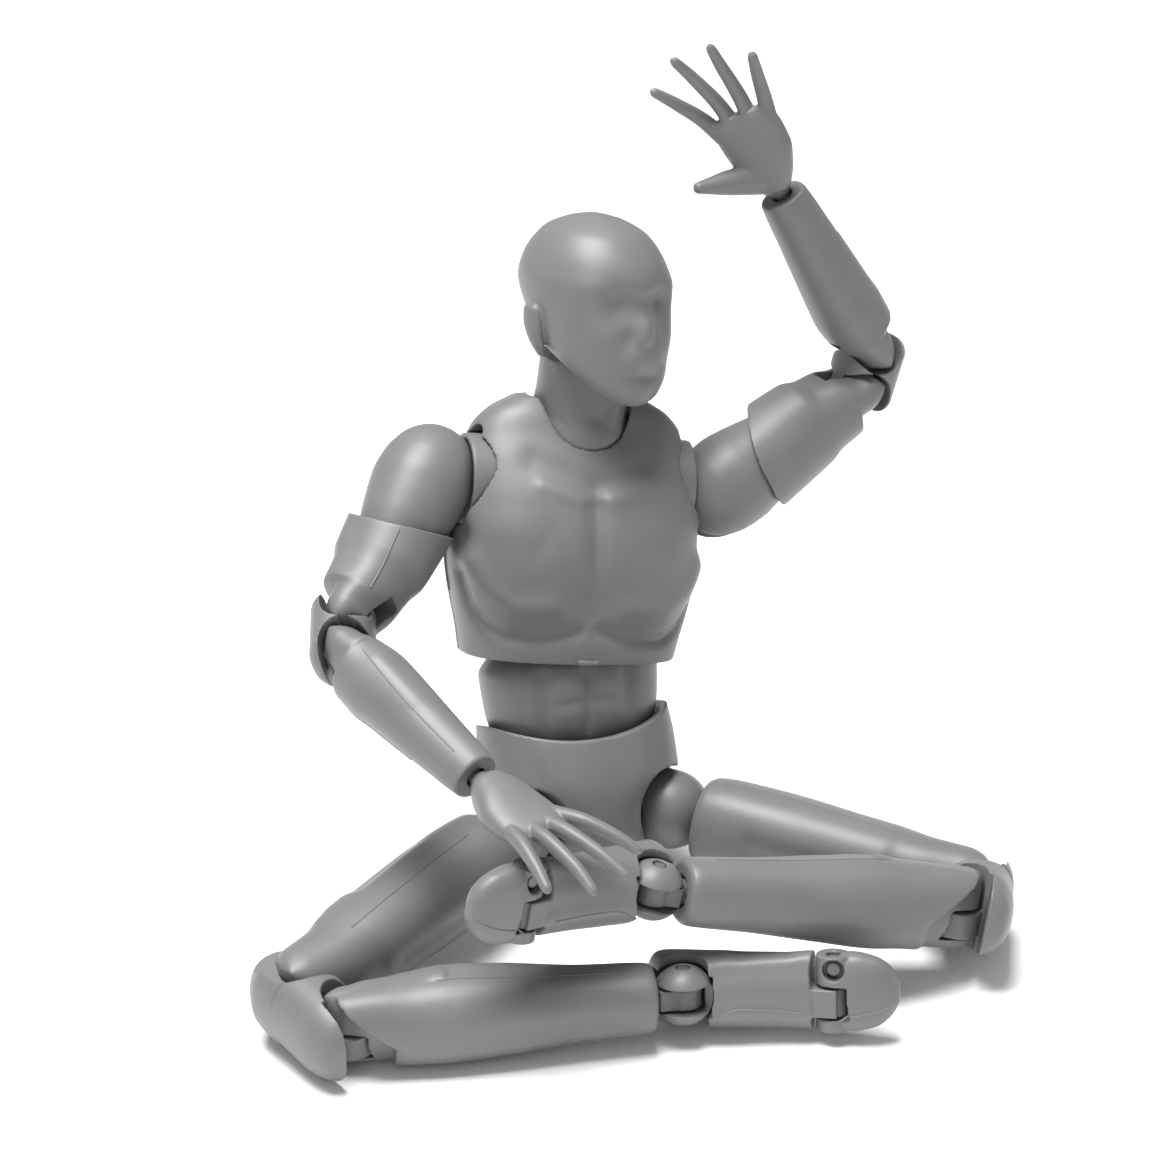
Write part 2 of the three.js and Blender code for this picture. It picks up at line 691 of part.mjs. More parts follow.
// Hip ball: a ball slotted from its inner side over the top, with the peg that the thigh turns on
function makeHipBall(side) {
  return cut(
    join(
      ball(hipBallRadius, [0, 0, 0], ballSides),
      ball(hipBallRadius, [0, 0, -hipBallDrop], ballSides),
      rod('z', thighPegRadius, -thighPegLength, 0),
    ),
    fan(side, hipBallRadius + 2, 12, 118, tongueHalf + gap + 0.15),
    rod('y', tongueRadius + gap, -tongueHalf - gap - 0.15, tongueHalf + gap + 0.15),
  );
}

// The bore, slot and pin hole of a fork at the knee; the slot opens downwards on a thigh (-1)
// and upwards on a shin (1), and on the back, where the knee folds
function kneeSlot(side, knee, way) {
  const slot = [side * kneeTongueShift - kneeTongueHalf - gap, side * kneeTongueShift + kneeTongueHalf + gap];
  const along = distance => [knee, knee + way * distance].sort((a, b) => a - b);
  return [
    rod('x', kneeEar + gap, ...slot, [0, 0, knee]),
    slab(slot, [-far, far], along(far)),
    slab(slot, [0, far], along(-kneeEar - gap)),
    rod('x', pinRadius + pinFit, -far, far, [0, 0, knee], boreSides),
  ];
}

// Thigh: a hollow top over the hip ball, and a fork at the knee that is slim in front, where
// the knee cap lies when the leg is straight
function makeThigh(side) {
  const knee = -thighLength;
  const r = thighRadius;
  const recess = knee + kneeCapRise + gap;
  const ear = kneeEar - 0.1;
  const shaft = limb([
    [-thighTop, r - 0.5, r - 0.5, r - 0.5],
    [-7, r - 0.1, r - 0.1, r - 0.1],
    [-13, r, r + 0.3, r + 0.1],
    [-21, r - 0.2, r + 0.3, r - 0.2],
    [-26, r - 0.3, r + 0.3, kneeEar + 1.3],
    [recess + 0.1, kneeHalfWidth, r, kneeEar + 0.6],
    [recess, kneeHalfWidth, ear, kneeEar + 0.6],
    [knee + 1.5, kneeHalfWidth, ear, ear],
    [knee, kneeHalfWidth, ear, ear],
  ]);
  return cut(
    join(shaft, rod('x', kneeEar, -kneeHalfWidth, kneeHalfWidth, [0, 0, knee])),
    ball(hipBallRadius + gap, [0, 0, -hipBallDrop], ballSides),
    rod('z', thighPegRadius + gap, -thighPegLength - gap, 0),
    ...kneeSlot(side, knee, -1),
  );
}

// Shin: a fork at the knee with a boss at its inner corner, a full calf and a round end above
// the ankle
function makeShin(side) {
  const end = -shinLength + ankleSetback;
  const recess = -kneeCapRise - gap;
  const ear = kneeEar - 0.1;
  const front = calfRadius - 0.6;
  const lower = [
    [-6, calfRadius - 0.2, calfRadius - 0.4, kneeEar + 1.2],
    [-10, calfRadius, calfRadius - 0.2, calfRadius + 0.2],
    [-16, calfRadius - 0.4, calfRadius - 0.5, calfRadius],
    [-24, ankleRadius + 0.3, ankleRadius + 0.2, ankleRadius + 0.3],
    [end + 1, ankleRadius, ankleRadius, ankleRadius],
    [end, ankleRadius - 0.7, ankleRadius - 0.7, ankleRadius - 0.7],
  ];
  const shaft = limb([
    [0, kneeHalfWidth, ear, ear],
    [-1.4, kneeHalfWidth, ear, ear],
    [recess, kneeHalfWidth, ear, kneeEar + 0.5],
    [recess - 0.1, kneeHalfWidth, front, kneeEar + 0.5],
    ...lower,
  ]);
  const boss = limb([
    [1.4, kneeHalfWidth - 0.3, front - 1.4, 1],
    [0.4, kneeHalfWidth, front - 0.4, 1],
    [-1.4, kneeHalfWidth, front, 1],
    ...lower,
  ]).intersect(slab([-side * (kneeNotch + gap), -side * far], [-far, far], [-shinLength, far]));
  return cut(
    join(shaft, boss, rod('x', kneeEar, -kneeHalfWidth, kneeHalfWidth)),
    ...kneeSlot(side, 0, 1),
    rod('z', anklePegRadius + gap, end - 1, -shinLength + anklePegLength + gap),
  );
}

// Ankle post: a peg in the shin and a flat tongue between the ears of the ankle ball
function makeAnklePost() {
  const tongue = [-ankleTongueHalf, ankleTongueHalf];
  return cut(
    join(
      rod('z', anklePegRadius, 1, anklePegLength),
      rod('x', ankleTongueRadius, ...tongue),
      slab(tongue, [-anklePegRadius - 0.3, anklePegRadius + 0.3], [0, ankleSetback - gap]),
    ),
    rod('x', smallPinRadius + pinFit, -far, far, [0, 0, 0], pinSides),
  );
}

function makeAnkleBall() {
  const half = ankleTongueHalf + gap;
  return cut(
    ball(ankleBallRadius, [0, 0, 0], ballSides),
    slab([-half, half], [-far, far], [0, far]),
    slab([-half, half], [0, far], [-ankleTongueRadius, far]),
    rod('x', ankleTongueRadius + gap, -half, half),
    rod('x', smallPinRadius + pinFit, -far, far, [0, 0, 0], pinSides),
  );
}

// A foot or toe shape: sections along the foot, from the heel forwards, with a flat sole
function alongFoot(stations) {
  const shape = limb(stations.map(([ahead, half, top, bottom]) => [ahead, half, bottom, top]), 2.6, 14);
  return shape.rotate([90, 0, 0]).intersect(slab([-far, far], [-far, far], [-soleDrop, far]));
}

// Foot: the ankle ball's cup, a flat sole, and a tongue for the toe cap
function makeFoot() {
  const hinge = [0, -toeHinge, -toeHingeDrop];
  const w = footHalfWidth;
  const sole = soleDrop + 0.5;
  const shape = alongFoot([
    [-heelLength, 1.6, -3.9, sole - 0.5],
    [-heelLength + 0.5, 2.6, -2.6, sole],
    [-heelLength + 1.4, w - 0.8, -0.8, sole],
    [-heelLength + 2.4, w - 0.5, 0.8, sole],
    [2, w - 0.3, 1.2, sole],
    [5.5, w - 0.2, 0.4, sole],
    [9.5, w - 0.1, -0.8, sole],
    [toeHinge - toeEar - gap - 0.2, w, -1.6, sole],
  ]);
  const tongue = slab(
    [-toeTongueHalf, toeTongueHalf],
    [-toeHinge, -toeHinge + 4],
    [-soleDrop + 0.4, -toeHingeDrop + toeEar - 0.2],
  );
  const cap = rod('x', toeEar - 0.3, -toeTongueHalf, toeTongueHalf, hinge);
  const half = ankleTongueHalf + gap;
  return cut(
    join(shape, tongue, cap),
    ball(ankleBallRadius + gap, [0, 0, 0], ballSides),
    rod('x', ankleBallRadius - 0.5, -far, far, [0, 0, 0.7]),
    slab([-half - 0.8, half + 0.8], [-ankleBallRadius, 0], [0, far]),
    slab([-half - 0.8, half + 0.8], [0, far], [-ankleTongueRadius, far]),
    rod('x', smallPinRadius + pinFit, -far, far, hinge, pinSides),
  );
}

// Toe cap: two ears on the foot's tongue and a blunt rounded front
function makeToe() {
  const hinge = [0, -toeHinge, -toeHingeDrop];
  const half = toeTongueHalf + gap;
  const w = footHalfWidth;
  const shape = alongFoot([
    [toeHinge, w, -1.7, soleDrop + 0.4],
    [toeHinge + 2, w + 0.1, -1.8, soleDrop + 0.4],
    [toeHinge + 4.4, w - 0.4, -2.3, soleDrop + 0.2],
    [toeHinge + 6, w - 1.6, -3, soleDrop],
    [toeHinge + toeLength, w - 3, -3.8, soleDrop - 0.7],
  ]);
  const ears = rod('x', toeEar, -w + 0.05, w - 0.05, hinge);
  return cut(
    join(shape, ears),
    slab([-half, half], [-toeHinge, -toeHinge + 6], [-far, 0]),
    rod('x', toeEar + 0.1, -half, half, hinge),
    rod('x', smallPinRadius + pinFit, -far, far, hinge, pinSides),
  );
}

const makePin = (axis, radius, half) => rod(axis, radius, -half, half, [0, 0, 0], pinSides);

// Assembly: the chain of joints, from the pelvis outwards
const mannequin = new THREE.Group();
const pelvis = new THREE.Group();
pelvis.rotation.set(THREE.MathUtils.degToRad(pose.lean), THREE.MathUtils.degToRad(pose.tilt), 0);
mannequin.add(pelvis);
addPiece(pelvis, 'pelvis', makePelvis());

const waist = addJoint(pelvis, 'waist_ball', [0, waistSetback, waistRise], 'z', pose.waistTurn);
addPiece(waist, 'waist_ball', makeWaistBall(), innerPlastic);
const abdomen = addJoint(waist, 'abdomen', [0, 0, 0], 'x', pose.waistBend);
addPiece(abdomen, 'abdomen', makeAbdomen());
const chestBall = addJoint(abdomen, 'chest_ball', [0, 0, chestRise], 'y', pose.chestLean);
addPiece(chestBall, 'chest_ball', makeChestBall(), innerPlastic);
const chest = addJoint(chestBall, 'chest', [0, 0, 0], 'x', pose.chestBend);
const chestShells = makeChest();
addPiece(chest, 'chest_front', chestShells.front);
addPiece(chest, 'chest_back', chestShells.back);

const neckBall = addJoint(chest, 'neck_ball', [0, 1, neckRise], 'z', pose.neckTurn);
addPiece(neckBall, 'neck_ball', makeNeckBall(), innerPlastic);
const neck = addJoint(neckBall, 'neck', [0, 0, 0], 'x', pose.neckBend);
addPiece(neck, 'neck', makeNeck());
const headBall = addJoint(neck, 'head_ball', [0, -1, headRise], 'z', pose.headTurn);
addPiece(headBall, 'head_ball', makeHeadBall(), innerPlastic);
const head = addJoint(headBall, 'head', [0, 0, 0], 'x', pose.headNod);
addPiece(head, 'head', makeHead());

for (const [word, side] of [['right', -1], ['left', 1]]) {
  const turn = pose[word];
  const named = name => `${word}_${name}`;
  const elbowPin = makePin('x', pinRadius, elbowHalfWidth - 0.4);
  const kneePin = makePin('x', pinRadius, kneeHalfWidth - 0.4);

  // Arm
  const shoulder = [side * shoulderHalf, chestSeam, shoulderRise];
  const block = addJoint(chest, named('shoulder_block'), shoulder, 'z', -side * turn.shoulder);
  addPiece(block, named('shoulder_block'), makeShoulderBlock(side));
  const swivel = addJoint(block, named('shoulder_swivel'), [side * shoulderReach, 0, 0], 'x', turn.swing);
  addPiece(swivel, named('shoulder_swivel'), makeShoulderSwivel(side), innerPlastic);
  const deltoid = addJoint(swivel, named('deltoid'), [0, 0, 0], 'y', -side * turn.raise);
  addPiece(deltoid, named('deltoid'), makeDeltoid(side));
  addPiece(deltoid, named('shoulder_pin'), makePin('y', smallPinRadius, 3.5), pinPlastic);
  const upperArm = addJoint(deltoid, named('upper_arm'), [0, 0, 0], 'z', -side * turn.armTurn);
  addPiece(upperArm, named('upper_arm'), makeUpperArm(side));
  const elbow = addJoint(upperArm, named('elbow_link'), [0, 0, -upperArmLength], 'x', turn.elbowUpper);
  addPiece(elbow, named('elbow_link'), makeElbow());
  addPiece(elbow, named('elbow_pin_upper'), elbowPin, pinPlastic);
  addPiece(elbow, named('elbow_pin_lower'), elbowPin, pinPlastic).position.z = -elbowGap;
  const forearm = addJoint(elbow, named('forearm'), [0, 0, -elbowGap], 'x', turn.elbowLower);
  addPiece(forearm, named('forearm'), makeForearm());
  const wrist = addJoint(forearm, named('wrist_peg'), [0, 0, -forearmLength], 'z', -side * turn.wristTurn);
  addPiece(wrist, named('wrist_peg'), makeWristPeg(), innerPlastic);
  const hand = addJoint(wrist, named('hand'), [0, 0, 0], 'y', -side * turn.handBend);
  addPiece(hand, named('hand'), makeHand(side));

  // Leg
  const post = addJoint(pelvis, named('hip_post'), [side * hipHalf, 0, 0], 'x', turn.hipBend);
  addPiece(post, named('hip_post'), makeHipPost(side), innerPlastic);
  const hipBall = addJoint(post, named('hip_ball'), [0, 0, 0], 'y', -side * turn.hipSpread);
  addPiece(hipBall, named('hip_ball'), makeHipBall(side));
  const thigh = addJoint(hipBall, named('thigh'), [0, 0, 0], 'z', -side * turn.thighTurn);
  addPiece(thigh, named('thigh'), makeThigh(side));
  const knee = addJoint(thigh, named('knee_link'), [0, 0, -thighLength], 'x', turn.kneeUpper);
  addPiece(knee, named('knee_link'), makeKnee(side));
  addPiece(knee, named('knee_pin_upper'), kneePin, pinPlastic);
  addPiece(knee, named('knee_pin_lower'), kneePin, pinPlastic).position.z = -kneeGap;
  const shin = addJoint(knee, named('shin'), [0, 0, -kneeGap], 'x', turn.kneeLower);
  addPiece(shin, named('shin'), makeShin(side));
  const anklePost = addJoint(shin, named('ankle_post'), [0, 0, -shinLength], 'z', -side * turn.ankleTurn);
  addPiece(anklePost, named('ankle_post'), makeAnklePost(), innerPlastic);
  const ankleBall = addJoint(anklePost, named('ankle_ball'), [0, 0, 0], 'x', turn.ankleBend);
  addPiece(ankleBall, named('ankle_ball'), makeAnkleBall());
  addPiece(ankleBall, named('ankle_pin'), makePin('x', smallPinRadius, ankleBallRadius - 0.4), pinPlastic);
  const foot = addJoint(ankleBall, named('foot'), [0, 0, 0], 'y', -side * turn.footRoll);
  addPiece(foot, named('foot'), makeFoot());
  const toe = addJoint(foot, named('toe'), [0, -toeHinge, -toeHingeDrop], 'x', turn.toeBend);
  addPiece(toe, named('toe'), makeToe().translate([0, toeHinge, toeHingeDrop]));
  addPiece(toe, named('toe_pin'), makePin('x', smallPinRadius, footHalfWidth - 0.5), pinPlastic);
}

// The origin is on the ground, under the middle of the seated figure
mannequin.updateMatrixWorld(true);
const extent = new THREE.Box3().setFromObject(mannequin, true);
const middle = extent.getCenter(new THREE.Vector3());
mannequin.position.set(-middle.x, -middle.y, -extent.min.z);

export default mannequin;
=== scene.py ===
# Articulated drawing mannequin, 150 mm tall standing, sitting cross-legged with one arm raised.
# Shapes are drawn in millimetres in each piece's own frame, with the limb hanging along -Z and
# its front towards -Y, and are then set in place in metres.
import json
import math

import bmesh
import bpy
import numpy as np
from mathutils import Matrix, Vector


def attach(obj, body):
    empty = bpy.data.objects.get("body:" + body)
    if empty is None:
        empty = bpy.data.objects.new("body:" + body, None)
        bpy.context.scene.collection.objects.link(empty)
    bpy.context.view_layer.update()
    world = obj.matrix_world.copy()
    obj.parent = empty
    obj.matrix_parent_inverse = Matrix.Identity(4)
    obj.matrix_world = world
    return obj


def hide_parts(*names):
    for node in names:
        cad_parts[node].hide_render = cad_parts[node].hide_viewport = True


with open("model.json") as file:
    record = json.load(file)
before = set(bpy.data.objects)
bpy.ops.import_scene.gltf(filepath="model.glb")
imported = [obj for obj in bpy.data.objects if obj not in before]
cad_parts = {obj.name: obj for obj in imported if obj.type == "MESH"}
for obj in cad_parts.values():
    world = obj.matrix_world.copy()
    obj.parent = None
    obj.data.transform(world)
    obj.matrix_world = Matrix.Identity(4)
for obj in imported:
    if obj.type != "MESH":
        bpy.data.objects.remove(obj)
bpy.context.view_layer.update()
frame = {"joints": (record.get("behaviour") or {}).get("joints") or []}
scene = bpy.context.scene


# Pelvis
# The real one is a hollow briefs-shaped block of moulded ABS. Its waistband holds the abdomen,
# and each leg opening is cut round so that the hip ball can swing out of it.
LEAN = -24
TILT = 2
WAIST_RISE = 9
WAIST_SETBACK = 2.6
PEG = 1.4
HIP_HALF = 8.7
HIP_BALL = 4.4
GAP = 0.3
SIDES = {"right": -1, "left": 1}


def hinged(parent, at, axis, degrees):
    """The frame of a piece that hangs on its parent by one hinge."""
    return parent @ Matrix.Translation(at) @ Matrix.Rotation(math.radians(degrees), 4, axis)


def smooth_rows(keys, rows, at):
    """Rows of sizes joined by a smooth curve that never overshoots."""
    span = np.diff(keys)[:, None]
    slope = np.diff(rows, axis=0) / span
    tangent = np.zeros_like(rows)
    before, after = slope[:-1], slope[1:]
    total = np.where(before * after > 0, before + after, 1)
    tangent[1:-1] = np.where(before * after > 0, 2 * before * after / total, 0)
    tangent[0], tangent[-1] = slope[0], slope[-1]
    i = np.clip(np.searchsorted(keys, at) - 1, 0, len(keys) - 2)
    t = ((at - keys[i]) / (keys[i + 1] - keys[i]))[:, None]
    h = span[i]
    start = (1 + 2 * t) * (1 - t) ** 2 * rows[i] + t * (1 - t) ** 2 * h * tangent[i]
    return start + t * t * (3 - 2 * t) * rows[i + 1] + t * t * (t - 1) * h * tangent[i + 1]


def solid(points, faces):
    """A closed shape as an object of its own."""
    mesh = bpy.data.meshes.new("shape")
    mesh.from_pydata([tuple(p) for p in points], [], faces)
    mesh.update()
    piece = bpy.data.objects.new("shape", mesh)
    scene.collection.objects.link(piece)
    return piece


def skin(rings):
    """A closed skin over rings that all hold as many points."""
    rows, around = rings.shape[:2]
    points = list(rings.reshape(-1, 3)) + [rings[0].mean(0), rings[-1].mean(0)]
    faces = []
    for r in range(rows - 1):
        for i in range(around):
            a, b = r * around + i, r * around + (i + 1) % around
            faces.append((a, b, b + around, a + around))
    top = (rows - 1) * around
    for i in range(around):
        after = (i + 1) % around
        faces.append((rows * around, after, i))
        faces.append((rows * around + 1, top + i, top + after))
    return solid(points, faces)


def limb(stations, fullness=2.1, around=72, step=0.3):
    """Oval sections at heights z: half width, reach to the front, reach to the back, shift."""
    table = np.array(sorted((list(s) + [0])[:5] for s in stations), float)
    keys = table[:, 0]
    heights = []
    for low, high in zip(keys[:-1], keys[1:]):
        count = max(1, round((high - low) / step))
        heights.extend(np.linspace(low, high, count, endpoint=False))
    heights = np.array(heights + [keys[-1]])
    rows = smooth_rows(keys, table[:, 1:], heights)
    angle = np.linspace(0, 2 * np.pi, around, endpoint=False)
    cos = np.sign(np.cos(angle)) * np.abs(np.cos(angle)) ** (2 / fullness)
    sin = np.sign(np.sin(angle)) * np.abs(np.sin(angle)) ** (2 / fullness)
    half, front, back, shift = rows.T[:, :, None]
    x = shift + half * cos
    y = (back - front) / 2 + (back + front) / 2 * sin
    z = np.repeat(heights[:, None], around, axis=1)
    return skin(np.stack([x, y, z], axis=2))


def placed(shape, matrix):
    """A bmesh shape, moved and made an object."""
    bmesh.ops.transform(shape, matrix=matrix, verts=shape.verts)
    mesh = bpy.data.meshes.new("shape")
    shape.to_mesh(mesh)
    shape.free()
    piece = bpy.data.objects.new("shape", mesh)
    scene.collection.objects.link(piece)
    return piece


def rod(axis, radius, start, end, at=(0, 0, 0), end_radius=None, around=48):
    """A round bar along one axis, between two distances, beside a point."""
    end_radius = radius if end_radius is None else end_radius
    low, high = (radius, end_radius) if start < end else (end_radius, radius)
    shape = bmesh.new()
    depth = abs(end - start)
    bmesh.ops.create_cone(shape, cap_ends=True, segments=around, radius1=low, radius2=high, depth=depth)
    turn = {"X": ("Y", 90), "Y": ("X", -90), "Z": ("Z", 0)}[axis]
    lie = Matrix.Rotation(math.radians(turn[1]), 4, turn[0])
    rise = Matrix.Translation((0, 0, (start + end) / 2))
    return placed(shape, Matrix.Translation(at) @ lie @ rise)


def ball(radius, at=(0, 0, 0), around=56):
    shape = bmesh.new()
    bmesh.ops.create_uvsphere(shape, u_segments=around, v_segments=around // 2, radius=radius)
    return placed(shape, Matrix.Translation(at))


def slab(x, y, z):
    """A block between two distances on each axis."""
    shape = bmesh.new()
    bmesh.ops.create_cube(shape, size=1)
    middle = [(a + b) / 2 for a, b in (x, y, z)]
    size = Matrix.Diagonal([abs(b - a) for a, b in (x, y, z)] + [1])
    return placed(shape, Matrix.Translation(middle) @ size)


def settle(piece):
    """Turns a piece's modifiers into its mesh."""
    graph = bpy.context.evaluated_depsgraph_get()
    mesh = bpy.data.meshes.new_from_object(piece.evaluated_get(graph))
    piece.modifiers.clear()
    old, piece.data = piece.data, mesh
    bpy.data.meshes.remove(old)
    return piece


def combine(operation, body, tools):
    for tool in tools:
        modifier = body.modifiers.new("combine", "BOOLEAN")
        modifier.solver = "MANIFOLD"
        modifier.operation = operation
        modifier.object = tool
        settle(body)
        bpy.data.objects.remove(tool)
    return body


def join(body, *tools):
    return combine("UNION", body, tools)


def cut(body, *tools):
    return combine("DIFFERENCE", body, tools)


def common(body, *tools):
    return combine("INTERSECT", body, tools)


def relief(piece, forms):
    """Raises or sinks a surface along lines of points: (points, width, height)."""
    mesh = piece.data
    count = len(mesh.vertices)
    points = np.empty(count * 3, np.float32)
    normals = np.empty(count * 3, np.float32)
    mesh.vertices.foreach_get("co", points)
    mesh.vertex_normals.foreach_get("vector", normals)
    points, normals = points.reshape(-1, 3).astype(float), normals.reshape(-1, 3)
    rise = np.zeros(count)
    for line, width, height in forms:
        line = np.array(line, float).reshape(-1, 3)
        near = np.linalg.norm(points - line[0], axis=1)
        for a, b in zip(line[:-1], line[1:]):
            share = np.clip((points - a) @ (b - a) / ((b - a) @ (b - a)), 0, 1)
            near = np.minimum(near, np.linalg.norm(points - a - share[:, None] * (b - a), axis=1))
        rise += height * np.exp(-((near / width) ** 2))
    points += normals * rise[:, None]
    mesh.vertices.foreach_set("co", points.astype(np.float32).ravel())
    mesh.update()
    return piece


def both_sides(forms):
    """The same forms on the left and on the right."""
    flipped = [([(-x, y, z) for x, y, z in line], width, height) for line, width, height in forms]
    return forms + flipped


def moulded(piece, voxel=0.2, rounds=4):
    """One even skin with the small rounded edges of a moulding."""
    remesh = piece.modifiers.new("skin", "REMESH")
    remesh.mode = "VOXEL"
    remesh.voxel_size = voxel
    soften = piece.modifiers.new("soften", "SMOOTH")
    soften.factor = 0.5
    soften.iterations = rounds
    thin = piece.modifiers.new("thin", "DECIMATE")
    thin.ratio = 0.6
    settle(piece)
    piece.data.shade_smooth()
    return piece


def linear(colour):
    """An sRGB hex colour as linear light."""
    parts = [int(colour[i:i + 2], 16) / 255 for i in (1, 3, 5)]
    return [c / 12.92 if c <= 0.04045 else ((c + 0.055) / 1.055) ** 2.4 for c in parts] + [1]


def node(tree, kind, inputs=None, **attributes):
    """Adds a node; an input that is a socket is linked, and any other is set."""
    made = tree.nodes.new(kind)
    for key, value in attributes.items():
        setattr(made, key, value)
    for key, value in (inputs or {}).items():
        if isinstance(value, bpy.types.NodeSocket):
            tree.links.new(value, made.inputs[key])
        else:
            made.inputs[key].default_value = value
    return made


def satin_plastic(name, light, dark, roughness):
    """Injection-moulded ABS from a finely spark-eroded mould: an even grey with a soft sheen."""
    material = bpy.data.materials.new(name)
    material.use_nodes = True
    tree = material.node_tree
    shader = tree.nodes["Principled BSDF"]
    place = node(tree, "ShaderNodeTexCoord").outputs["Object"]
    cloud = node(tree, "ShaderNodeTexNoise", inputs={"Vector": place, "Scale": 180, "Detail": 4})
    tone = node(tree, "ShaderNodeValToRGB", inputs={"Fac": cloud.outputs["Fac"]})
    tone.color_ramp.elements[0].position = 0.3
    tone.color_ramp.elements[0].color = linear(dark)
    tone.color_ramp.elements[1].position = 0.7
    tone.color_ramp.elements[1].color = linear(light)
    tree.links.new(tone.outputs["Color"], shader.inputs["Base Color"])
    gloss = node(tree, "ShaderNodeMapRange", inputs={
        "Value": cloud.outputs["Fac"], "To Min": roughness - 0.05, "To Max": roughness + 0.05})
    tree.links.new(gloss.outputs["Result"], shader.inputs["Roughness"])
    grain = node(tree, "ShaderNodeTexNoise", inputs={"Vector": place, "Scale": 9000, "Detail": 2})
    bump = node(tree, "ShaderNodeBump", inputs={
        "Height": grain.outputs["Fac"], "Strength": 0.25, "Distance": 0.00003})
    tree.links.new(bump.outputs["Normal"], shader.inputs["Normal"])
    return material


plastics = {"body_plastic": satin_plastic("satin grey ABS", "#6c6c6c", "#676767", 0.45)}


def seat(piece, name, place, body, slot, *nodes):
    """Sets a finished shape in its place and says what it stands for."""
    piece.name = name
    piece.data.name = name
    piece.data.transform(Matrix.Scale(0.001, 4) @ place)
    piece.data.materials.clear()
    piece.data.materials.append(plastics[slot])
    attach(piece, body)
    if nodes:
        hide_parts(*nodes)


def seat_moulding(piece, part, place, slot="body_plastic", body=None):
    """Seats the one moulding of a part, on the body of its own name unless another is given."""
    seat(piece, part + "_moulded", place, body or part, slot, part)


waist_joint = next(j for j in frame["joints"] if j["name"] == "waist_ball_turn")
pelvis_turn = Matrix.Rotation(math.radians(LEAN), 4, "X") @ Matrix.Rotation(math.radians(TILT), 4, "Y")
hips = Vector(waist_joint["pos_m"]) * 1000 - pelvis_turn @ Vector((0, WAIST_SETBACK, WAIST_RISE))
pelvis_place = Matrix.Translation(hips) @ pelvis_turn

RIM = WAIST_RISE + 3.2
pelvis = relief(
    limb([
        (-6.6, 2.6, 2.2, 7.4),
        (-5, 4.4, 3.8, 9),
        (-2, 7.8, 5.4, 10),
        (3.5, 11, 6.6, 10.4),
        (8, 11, 6, 10),
        (RIM, 10.7, 7.6 - WAIST_SETBACK, 7.2 + WAIST_SETBACK),
    ], 2.3, 120),
    both_sides([
        ([(8.6, -5.2, 9), (6.6, -6, 4), (3.4, -6.4, 0.5)], 1.2, -0.35),
        ([(5, 10.2, 0)], 4, 0.5),
    ]) + [
        ([(0, -6.4, -1.5)], 3, 0.4),
        ([(0, 10.6, 5), (0, 10.4, 0), (0, 9, -5)], 1, -1.4),
    ],
)
pit = limb([
    (WAIST_RISE - 3.6, 6.2, 4.2 - WAIST_SETBACK, 3.8 + WAIST_SETBACK),
    (WAIST_RISE - 0.5, 9.8, 6.6 - WAIST_SETBACK, 6.2 + WAIST_SETBACK),
    (RIM + 1, 10.1, 7 - WAIST_SETBACK, 6.6 + WAIST_SETBACK),
], 2.3, 120)
WAISTBAND_DIP = 22
cut(
    pelvis,
    pit,
    rod("Y", WAISTBAND_DIP, -12, 18, (0, 0, WAIST_RISE + WAISTBAND_DIP), around=160),
    rod("Z", PEG + GAP, WAIST_RISE - 7 - GAP, WAIST_RISE, (0, WAIST_SETBACK, 0)),
)
for side in SIDES.values():
    hip = (side * HIP_HALF, 0, 0)
    cut(
        pelvis,
        ball(HIP_BALL + GAP, hip),
        rod("Y", HIP_BALL + GAP, -12, 0, hip),
        rod("X", HIP_BALL + GAP, 0, side * 8, hip),
        rod("X", 1.4, 0, -side * 7.7, hip),
    )
seat_moulding(moulded(pelvis), "pelvis", pelvis_place)


# Waist ball and abdomen
# A ball on a peg lets the waist turn and bend. The abdomen is a flattened barrel moulded with
# shallow muscles, and its narrow ends sit inside the pelvis and the chest.
CHEST_RISE = 10
WAIST_BALL = 3
CHEST_BALL = 2.8
waist_place = hinged(pelvis_place, (0, WAIST_SETBACK, WAIST_RISE), "Z", -2)
abdomen_place = hinged(waist_place, (0, 0, 0), "X", 4)
plastics["joint_plastic"] = satin_plastic("satin dark grey ABS", "#5e5e5e", "#585858", 0.5)
waist_ball = join(ball(WAIST_BALL), rod("Z", PEG, -7, 0))
seat_moulding(moulded(waist_ball), "waist_ball", waist_place, "joint_plastic")

abdomen = relief(
    limb([
        (-2.2, 5.6, 3.6, 3.2),
        (0, 8.2, 5.6, 5.2),
        (2, 9.3, 6.4, 6),
        (4, 9.7, 6.8, 6.3),
        (CHEST_RISE - 2, 10, 6.9, 6.3),
        (CHEST_RISE - 0.4, 9, 6.2, 5.6),
        (CHEST_RISE + 1.4, 6.6, 4.4, 4),
    ], 2.3, 120),
    both_sides([
        ([(4.7, -6.6, 0), (4.9, -6.8, 8)], 0.9, -0.35),
        ([(2.3, -7, 2.6)], 1.6, 0.15),
        ([(2.3, -7, 6.4)], 1.6, 0.15),
        ([(0.8, -7, 4.6), (4, -7, 4.3)], 0.5, -0.18),
        ([(2.4, 6.3, 0), (2.4, 6.3, 8)], 1.6, 0.3),
    ]) + [
        ([(0, -6.6, 0), (0, -7, 8)], 0.6, -0.45),
        ([(0, 6.3, 0), (0, 6.3, 8)], 0.8, -0.5),
    ],
)
cut(
    abdomen,
    ball(WAIST_BALL + GAP),
    rod("Z", 2.6, -4, 0),
    ball(CHEST_BALL + GAP, (0, 0, CHEST_RISE)),
    rod("Z", 3.3, CHEST_RISE + 1, CHEST_RISE + 3),
)
seat_moulding(moulded(abdomen), "abdomen", abdomen_place)


